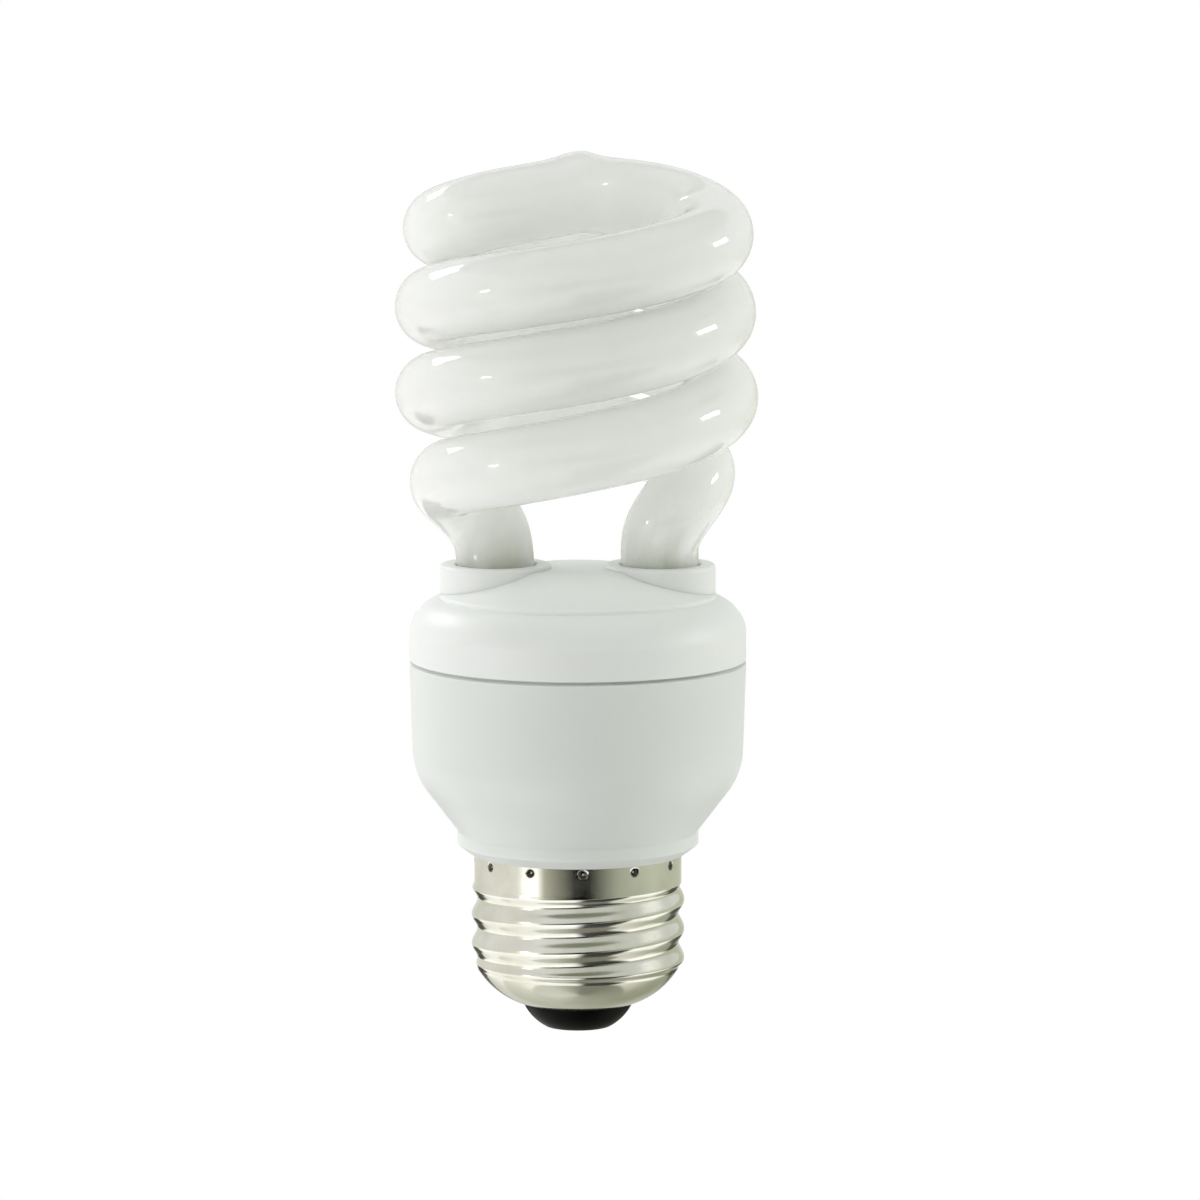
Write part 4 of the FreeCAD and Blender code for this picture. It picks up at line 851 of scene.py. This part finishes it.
def patchy(name, low, high, size, roughness, depth, stretch, detail, surface):
    """Two close tones in patches of that size, uneven roughness and a shallow grain."""
    material, tree = new_material(name)
    place = millimetres(tree, stretch)
    cloud = add(tree, "ShaderNodeTexNoise", {"Vector": place, "Scale": 0.5 / size, "Detail": detail})
    haze = add(tree, "ShaderNodeTexNoise", {"Vector": place, "Scale": 1.0 / size, "Detail": 3.0})
    fine = add(tree, "ShaderNodeTexNoise", {"Vector": place, "Scale": 2.0 / size})
    shader = add(tree, "ShaderNodeBsdfPrincipled", {
        **surface,
        "Base Color": add(tree, "ShaderNodeValToRGB", {"Fac": cloud}, stops=[
            (0.3, tone(low)), (0.7, tone(high)),
        ]),
        "Roughness": add(tree, "ShaderNodeMapRange", {
            "Value": haze, "To Min": roughness[0], "To Max": roughness[1],
        }),
        "Normal": add(tree, "ShaderNodeBump", {"Height": fine, "Distance": depth * MM}),
    })
    add(tree, "ShaderNodeOutputMaterial", {"Surface": shader})
    return material


def metal(name, low, high, size, roughness, depth=0.004, stretch=(1, 1, 1)):
    """Bare or plated metal."""
    return patchy(name, low, high, size, roughness, depth, stretch, 4.0, {"Metallic": 1.0})


def body(name, low, high, size, roughness, depth=0.01, stretch=(1, 1, 1)):
    """Moulded, dipped, drawn or lacquered body."""
    return patchy(name, low, high, size, roughness, depth, stretch, 3.0, {"IOR": 1.5})


def wound_wire(name, low, high, wire):
    """Enamelled wire laid turn by turn: a wave across the winding, one crest for each wire, painted lighter
    on each crest as a painted highlight and darker between turns as painted shade.
    """
    material, tree = new_material(name)
    wave = add(tree, "ShaderNodeTexWave", {
        "Vector": millimetres(tree), "Scale": 0.16 / wire, "Distortion": 0.4, "Detail": 1.0,
    }, out="Fac", bands_direction="DIAGONAL")
    # Painted highlight and painted shade: the colour follows the wave, light on each crest and dark between
    # the turns
    shader = add(tree, "ShaderNodeBsdfPrincipled", {
        "Base Color": add(tree, "ShaderNodeValToRGB", {"Fac": wave}, stops=[
            (0.0, tone(low)), (1.0, tone(high)),
        ]),
        "Roughness": 0.3, "IOR": 1.55, "Coat Weight": 0.4,
        "Normal": add(tree, "ShaderNodeBump", {"Height": wave, "Distance": wire / 3 * MM}),
    })
    add(tree, "ShaderNodeOutputMaterial", {"Surface": shader})
    return material


def ringed(name, lacquer, rings, axis, pitch, reach):
    """Lacquered body with painted rings, counted from the middle of the piece along its axis.

    The ring's place is the coordinate less the middle of the piece's own box, over its reach.
    """
    material, tree = new_material(name)
    node, direction = axis
    low, high = span(node)
    centre = (low + high)["XYZ".index(direction)] / 2
    place = millimetres(tree)
    parts = add(tree, "ShaderNodeSeparateXYZ", {"Vector": place}, out=direction)
    share = add(tree, "ShaderNodeMapRange", {
        "Value": parts, "From Min": centre - reach, "From Max": centre + reach,
    })
    first = 0.5 - pitch * (len(rings) - 1) / 2
    stops = [(0.0, tone(lacquer))]
    for i, ring in enumerate(rings):
        middle = first + i * pitch
        stops += [(middle - 0.3 * pitch, tone(lacquer)), (middle - 0.24 * pitch, tone(ring)),
                  (middle + 0.24 * pitch, tone(ring)), (middle + 0.3 * pitch, tone(lacquer))]
    haze = add(tree, "ShaderNodeTexNoise", {"Vector": place, "Scale": 0.5 / 1.0})
    shader = add(tree, "ShaderNodeBsdfPrincipled", {
        "Base Color": add(tree, "ShaderNodeValToRGB", {"Fac": share}, stops=stops), "IOR": 1.5,
        "Roughness": add(tree, "ShaderNodeMapRange", {"Value": haze, "To Min": 0.22, "To Max": 0.42}),
        "Normal": add(tree, "ShaderNodeBump", {"Height": haze, "Distance": 0.01 * MM}),
    })
    add(tree, "ShaderNodeOutputMaterial", {"Surface": shader})
    return material


def dress_hidden_parts():
    """Gives each node inside the housing the finish of the real component."""
    # Hot-dipped tin on copper wire: pale grey, half dull, blotchy
    tinned = metal("tinned_wire", "#C9C9C2", "#AEADA6", 1.2, (0.22, 0.4))
    # Pressed and sintered ferrite: charcoal, matt, finely pitted
    ferrite = body("sintered_ferrite", "#2B2B2D", "#3A3A3B", 1.4, (0.55, 0.75), 0.03)
    # Enamelled copper wire: dark orange, with a painted highlight on each turn and painted shade between the
    # turns
    copper = wound_wire("enamelled_copper", "#7A2E12", "#C8673A", 0.45)
    # Transfer-moulded epoxy: black, satin, even
    epoxy = body("moulded_epoxy", "#151516", "#222224", 1.0, (0.45, 0.6), 0.012)
    # Drawn nickel-iron wire: darker grey than tin, long fine draw marks
    drawn_wire = metal("drawn_nickel_iron", "#9E9B92", "#868379", 0.8, (0.25, 0.4), stretch=(1, 1, 0.2))
    # Lamp cement, set: cream, chalky, grainy
    cement = body("set_lamp_cement", "#D8D2BF", "#C9C2AC", 0.8, (0.8, 0.95), 0.05)
    # Black moulded diode with a silver cathode ring
    diode = ringed("moulded_diode", "#161617", ("#B9BABC",), ("rectifier_diode_1", "Y"), 0.3, 2.3)
    # Carbon film resistor: tan lacquer with four painted rings
    film = ("#C77A1E", "#C77A1E", "#B8B21E", "#B8912E")
    finishes = {
        "leg_cement_left": cement,
        "leg_cement_right": cement,
        # Phenolic paper board: brown, satin, cloudy with the paper's fibres
        "circuit_board": body("phenolic_paper_board", "#8A6A36", "#9E7C45", 2.5, (0.45, 0.6),
                              stretch=(1, 0.4, 1)),
        # Deep-drawn aluminium can: bright, with draw lines up its side
        "capacitor_can": metal("drawn_aluminium", "#D5D6D8", "#BFC1C4", 2.0, (0.25, 0.38),
                               stretch=(1, 1, 0.2)),
        # Shrunk PVC sleeve: near black, glossy, a little wavy
        "capacitor_sleeve": body("shrunk_black_sleeve", "#12161C", "#1B2129", 3.0, (0.2, 0.32), 0.03),
        # Butyl rubber bung: black, matt, fine pores
        "capacitor_bung": body("sealing_rubber", "#1E1E1F", "#29292A", 1.0, (0.7, 0.85), 0.02),
        "capacitor_leads": tinned,
        "choke_core_lower": ferrite,
        "choke_core_upper": ferrite,
        # Moulded phenolic bobbin: brown-black, satin
        "choke_bobbin": body("phenolic_bobbin", "#1B1A19", "#262523", 1.5, (0.4, 0.55)),
        # Polyester winding tape: clear yellow, glossy, wrinkled round the winding
        "choke_winding": body("polyester_tape", "#D9B21F", "#E6C43A", 2.5, (0.15, 0.25), 0.02, (1, 1, 0.3)),
        "choke_pins": tinned,
        # Epoxy-coated ferrite ring: grey-green, slightly orange-peeled
        "toroid_core": body("coated_ferrite_ring", "#39463A", "#445245", 1.2, (0.4, 0.55), 0.02),
        # Blue glass diac with one black ring
        "diac": ringed("blue_glass_diac", "#2F5FA0", ("#1A1A1A",), ("diac", "X"), 0.3, 1.7),
        # Flameproof fuse resistor: grey-green lacquer, four painted rings
        "fuse_resistor": ringed("flameproof_lacquer", "#5E6B5C", ("#6B3A1C", "#1A1A1A", "#1A1A1A", "#B8912E"),
                                ("fuse_resistor", "X"), 0.17, 2.5),
        "start_resistor_1": ringed("carbon_film_1", "#C9A673", film, ("start_resistor_1", "X"), 0.17, 1.6),
        "start_resistor_2": ringed("carbon_film_2", "#C9A673", film, ("start_resistor_2", "X"), 0.17, 1.6),
        # Film capacitors dipped in epoxy: dark red and brown, glossy, lumpy at the edges
        "resonant_capacitor": body("dipped_epoxy_red", "#7E1F14", "#8F2A1C", 1.8, (0.2, 0.32), 0.04),
        "coupling_capacitor": body("dipped_epoxy_brown", "#6A3A18", "#7B4620", 1.8, (0.2, 0.32), 0.04),
        # Inductor in a shrunk sleeve: near black, half glossy
        "input_inductor": body("shrunk_inductor_sleeve", "#17191B", "#23262A", 2.0, (0.22, 0.35), 0.02),
        # Extruded PVC insulation: black and white, soft gloss, faint draw lines
        "live_lead": body("black_wire_insulation", "#161617", "#202022", 2.0, (0.3, 0.42),
                          stretch=(1, 1, 0.3)),
        "neutral_lead": body("white_wire_insulation", "#DAD9D2", "#E6E5DF", 2.0, (0.3, 0.42),
                             stretch=(1, 1, 0.3)),
    }
    for i in range(1, 5):
        finishes[f"rectifier_diode_{i}"] = diode
        finishes[f"wrap_pin_{i}"] = tinned
        finishes[f"electrode_lead_{i}"] = drawn_wire
    for i in range(1, 4):
        finishes[f"toroid_winding_{i}"] = copper
    for i in range(1, 3):
        finishes[f"transistor_{i}"] = epoxy
    for node, finish in finishes.items():
        dress(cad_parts[node], finish)


def dress(piece, material):
    piece.data.materials.clear()
    piece.data.materials.append(material)


def fit(piece, material, node):
    """Puts a new piece in a node's place."""
    dress(piece, material)
    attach(piece, "root")
    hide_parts(node)


# Studio


def seen_share(tree, share):
    """Share of plain white for a ray that looks, mirrors or passes through; 0 for a ray that lights."""
    path = tree.nodes.new("ShaderNodeLightPath").outputs
    seen = path["Is Camera Ray"]
    seen = add(tree, "ShaderNodeMath", {0: seen, 1: path["Is Glossy Ray"]}, operation="MAXIMUM")
    seen = add(tree, "ShaderNodeMath", {0: seen, 1: path["Is Transmission Ray"]}, operation="MAXIMUM")
    return add(tree, "ShaderNodeMath", {0: seen, 1: share}, operation="MULTIPLY")


def floor():
    """Pale round floor, below the held bulb. It keeps a part of the shadow that falls on it."""
    grid = lathe([(0, FLOOR_Z), (FLOOR_RADIUS, FLOOR_Z)], 64)
    piece = make_piece("floor", [grid], closed_rows=False)
    material, tree = new_material("pale_floor")
    shaded = add(tree, "ShaderNodeBsdfDiffuse", {"Color": grey(0.9)})
    white = add(tree, "ShaderNodeEmission", {"Color": grey(1.0), "Strength": FLOOR_LEVEL})
    mix = add(tree, "ShaderNodeMixShader", {0: seen_share(tree, FLOOR_PLAIN_SHARE), 1: shaded, 2: white})
    add(tree, "ShaderNodeOutputMaterial", {"Surface": mix})
    dress(piece, material)


def studio_walls():
    """Pale studio all round: plain white where it is seen, a plain soft level where it lights."""
    world = bpy.data.worlds.new("studio")
    bpy.context.scene.world = world
    world.use_nodes = True
    tree = world.node_tree
    tree.nodes.clear()
    lit = add(tree, "ShaderNodeBackground", {"Color": grey(1.0), "Strength": WALL_LEVEL})
    seen = add(tree, "ShaderNodeBackground", {"Color": grey(1.0), "Strength": 1.0})
    mix = add(tree, "ShaderNodeMixShader", {0: seen_share(tree, 1.0), 1: lit, 2: seen})
    add(tree, "ShaderNodeOutputWorld", {"Surface": mix})


def toward(azimuth, elevation):
    """Unit direction. Azimuth is in degrees from the camera's side, growing towards +X."""
    a = np.radians(azimuth)
    e = np.radians(elevation)
    return np.stack([np.sin(a) * np.cos(e), -np.cos(a) * np.cos(e), np.sin(e)], axis=-1)


def surround(name, shades, elevations, distance, lights):
    """Curved studio card for the plating to mirror: a belt of a sphere about the shell's middle.

    It reaches from the first azimuth of its shades (azimuth, red, green, blue) to the last, and blends
    between them. The camera doesn't see it. One that lights casts a shadow too.
    """
    places, *channels = np.array(shades).T
    columns = np.linspace(places[0], places[-1], CARD_COLUMNS)
    a, e = np.meshgrid(columns, np.linspace(*elevations, CARD_ROWS))
    points = np.array((0, 0, SHELL_MIDDLE_Z)) + distance * toward(a, e)
    shade = np.stack([np.interp(a, places, channel) for channel in channels] + [np.ones(a.shape)], axis=-1)
    index = np.arange(a.size).reshape(a.shape)
    quads = np.stack([index[:-1, :-1], index[:-1, 1:], index[1:, 1:], index[1:, :-1]], axis=-1).reshape(-1, 4)
    mesh = bpy.data.meshes.new(name)
    mesh.from_pydata((points.reshape(-1, 3) * MM).tolist(), [], quads.tolist())
    stored = mesh.attributes.new("shade", "FLOAT_COLOR", "POINT")
    stored.data.foreach_set("color", shade.ravel().astype(np.float32))
    piece = bpy.data.objects.new(name, mesh)
    bpy.context.scene.collection.objects.link(piece)
    material, tree = new_material(name)
    colour = add(tree, "ShaderNodeAttribute", out="Color", attribute_name="shade")
    add(tree, "ShaderNodeOutputMaterial", {"Surface": add(tree, "ShaderNodeEmission", {"Color": colour})})
    dress(piece, material)
    piece.visible_camera = False
    piece.visible_diffuse = lights
    piece.visible_shadow = lights


def soft_box(name, azimuth, elevation, width, height, power, mirrored=True):
    """Rectangular lamp aimed at the bulb's middle. Azimuth is from the camera's side, growing towards +X."""
    lamp = bpy.data.lights.new(name, "AREA")
    lamp.shape = "RECTANGLE"
    lamp.size = width * MM
    lamp.size_y = height * MM
    lamp.energy = power
    way = Vector(toward(azimuth, elevation))
    box = bpy.data.objects.new(name, lamp)
    box.location = (Vector((0, 0, CAMERA_AIM.z)) + way * BOX_DISTANCE) * MM
    box.rotation_euler = way.to_track_quat("Z", "Y").to_euler()
    box.visible_glossy = mirrored
    bpy.context.scene.collection.objects.link(box)


def core_lamp(power):
    """Soft lamp in the coil's core, for the light that the thin glass lets through to its own far side."""
    lamp = bpy.data.lights.new("core_lamp", "POINT")
    lamp.shadow_soft_size = CORE_LAMP_RADIUS * MM
    lamp.energy = power
    bulb = bpy.data.objects.new("core_lamp", lamp)
    bulb.location = (0, 0, (COIL_LOW_Z + COIL_TOP_Z) / 2 * MM)
    bulb.visible_glossy = False
    bpy.context.scene.collection.objects.link(bulb)


def camera():
    """Camera where the photograph was taken from."""
    data = bpy.data.cameras.new("photo_camera")
    data.lens = CAMERA_LENS
    data.sensor_width = CAMERA_SENSOR
    data.clip_end = CAMERA_REACH * MM
    seat = bpy.data.objects.new("photo_camera", data)
    way = Vector((0, -math.cos(CAMERA_ELEVATION), math.sin(CAMERA_ELEVATION)))
    seat.location = (CAMERA_AIM + way * CAMERA_DISTANCE) * MM
    seat.rotation_euler = way.to_track_quat("Z", "Y").to_euler()
    bpy.context.scene.collection.objects.link(seat)
    bpy.context.scene.camera = seat


camera()
bpy.context.scene.view_settings.view_transform = "Standard"
studio_walls()
floor()
for name, shades, elevations in (
    ("horizon_card", HORIZON_SHADES, (-14, 6)),
    ("high_card", HIGH_SHADES, (6, 42)),
    ("ceiling_card", CEILING_SHADES, (42, 62)),
    ("top_card", TOP_SHADES, (62, 89.5)),
):
    surround(name, shades, elevations, CARD_DISTANCE, lights=True)
for name, shades, elevations in (
    ("low_card", LOW_SHADES, (-27, -14)),
    ("middle_card", MIDDLE_SHADES, (-42, -27)),
    ("deep_card", DEEP_SHADES, (-62, -42)),
    ("nadir_card", NADIR_SHADES, (-89.5, -62)),
    ("flag_card", FLAG_SHADES, (19, 31)),
):
    surround(name, shades, elevations, LOW_CARD_DISTANCE, lights=False)
soft_box("right_box", 92, 23, width=200, height=110, power=0.75)
soft_box("left_back_box", -134, 33, width=200, height=170, power=0.9)
soft_box("left_front_box", -60, 6, width=90, height=60, power=0.16)
soft_box("front_fill", -12, 48, width=300, height=200, power=0.6, mirrored=False)
soft_box("left_low_fill", -100, -20, width=300, height=200, power=0.7, mirrored=False)
soft_box("right_low_fill", 105, -20, width=300, height=200, power=0.85, mirrored=False)
core_lamp(power=0.0012)

# The cover's white is set lighter than the housing's: painted light that makes up for the shade the coil
# casts on the cover's roof
lightened_white_cover = moulded_white("moulded_white_cover", "#EDEFEE", "#F1F3F2")
white_housing = moulded_white("moulded_white_housing", "#E2E5E3", "#E7EAE8")
fit(glass_tube(), coated_glass(), "spiral_tube")
fit(holder_moulding(), lightened_white_cover, "tube_holder")
fit(housing_moulding(), white_housing, "ballast_housing")
fit(screw_shell(), nickel_plate(), "screw_shell")
fit(glass_foot(), black_glass(), "base_insulator")
# Stamped brass: warm yellow, half dull
brass = metal("stamped_brass", "#C9A45C", "#A9853F", 1.0, (0.22, 0.38))
fit(contact_disc(), brass, "centre_contact")
# Tin solder, set: pale grey with dull patches
solder = metal("tin_solder", "#C6C7C5", "#A4A5A3", 0.8, (0.25, 0.45), 0.02)
fit(solder_drop(), solder, "contact_solder")
dress_hidden_parts()
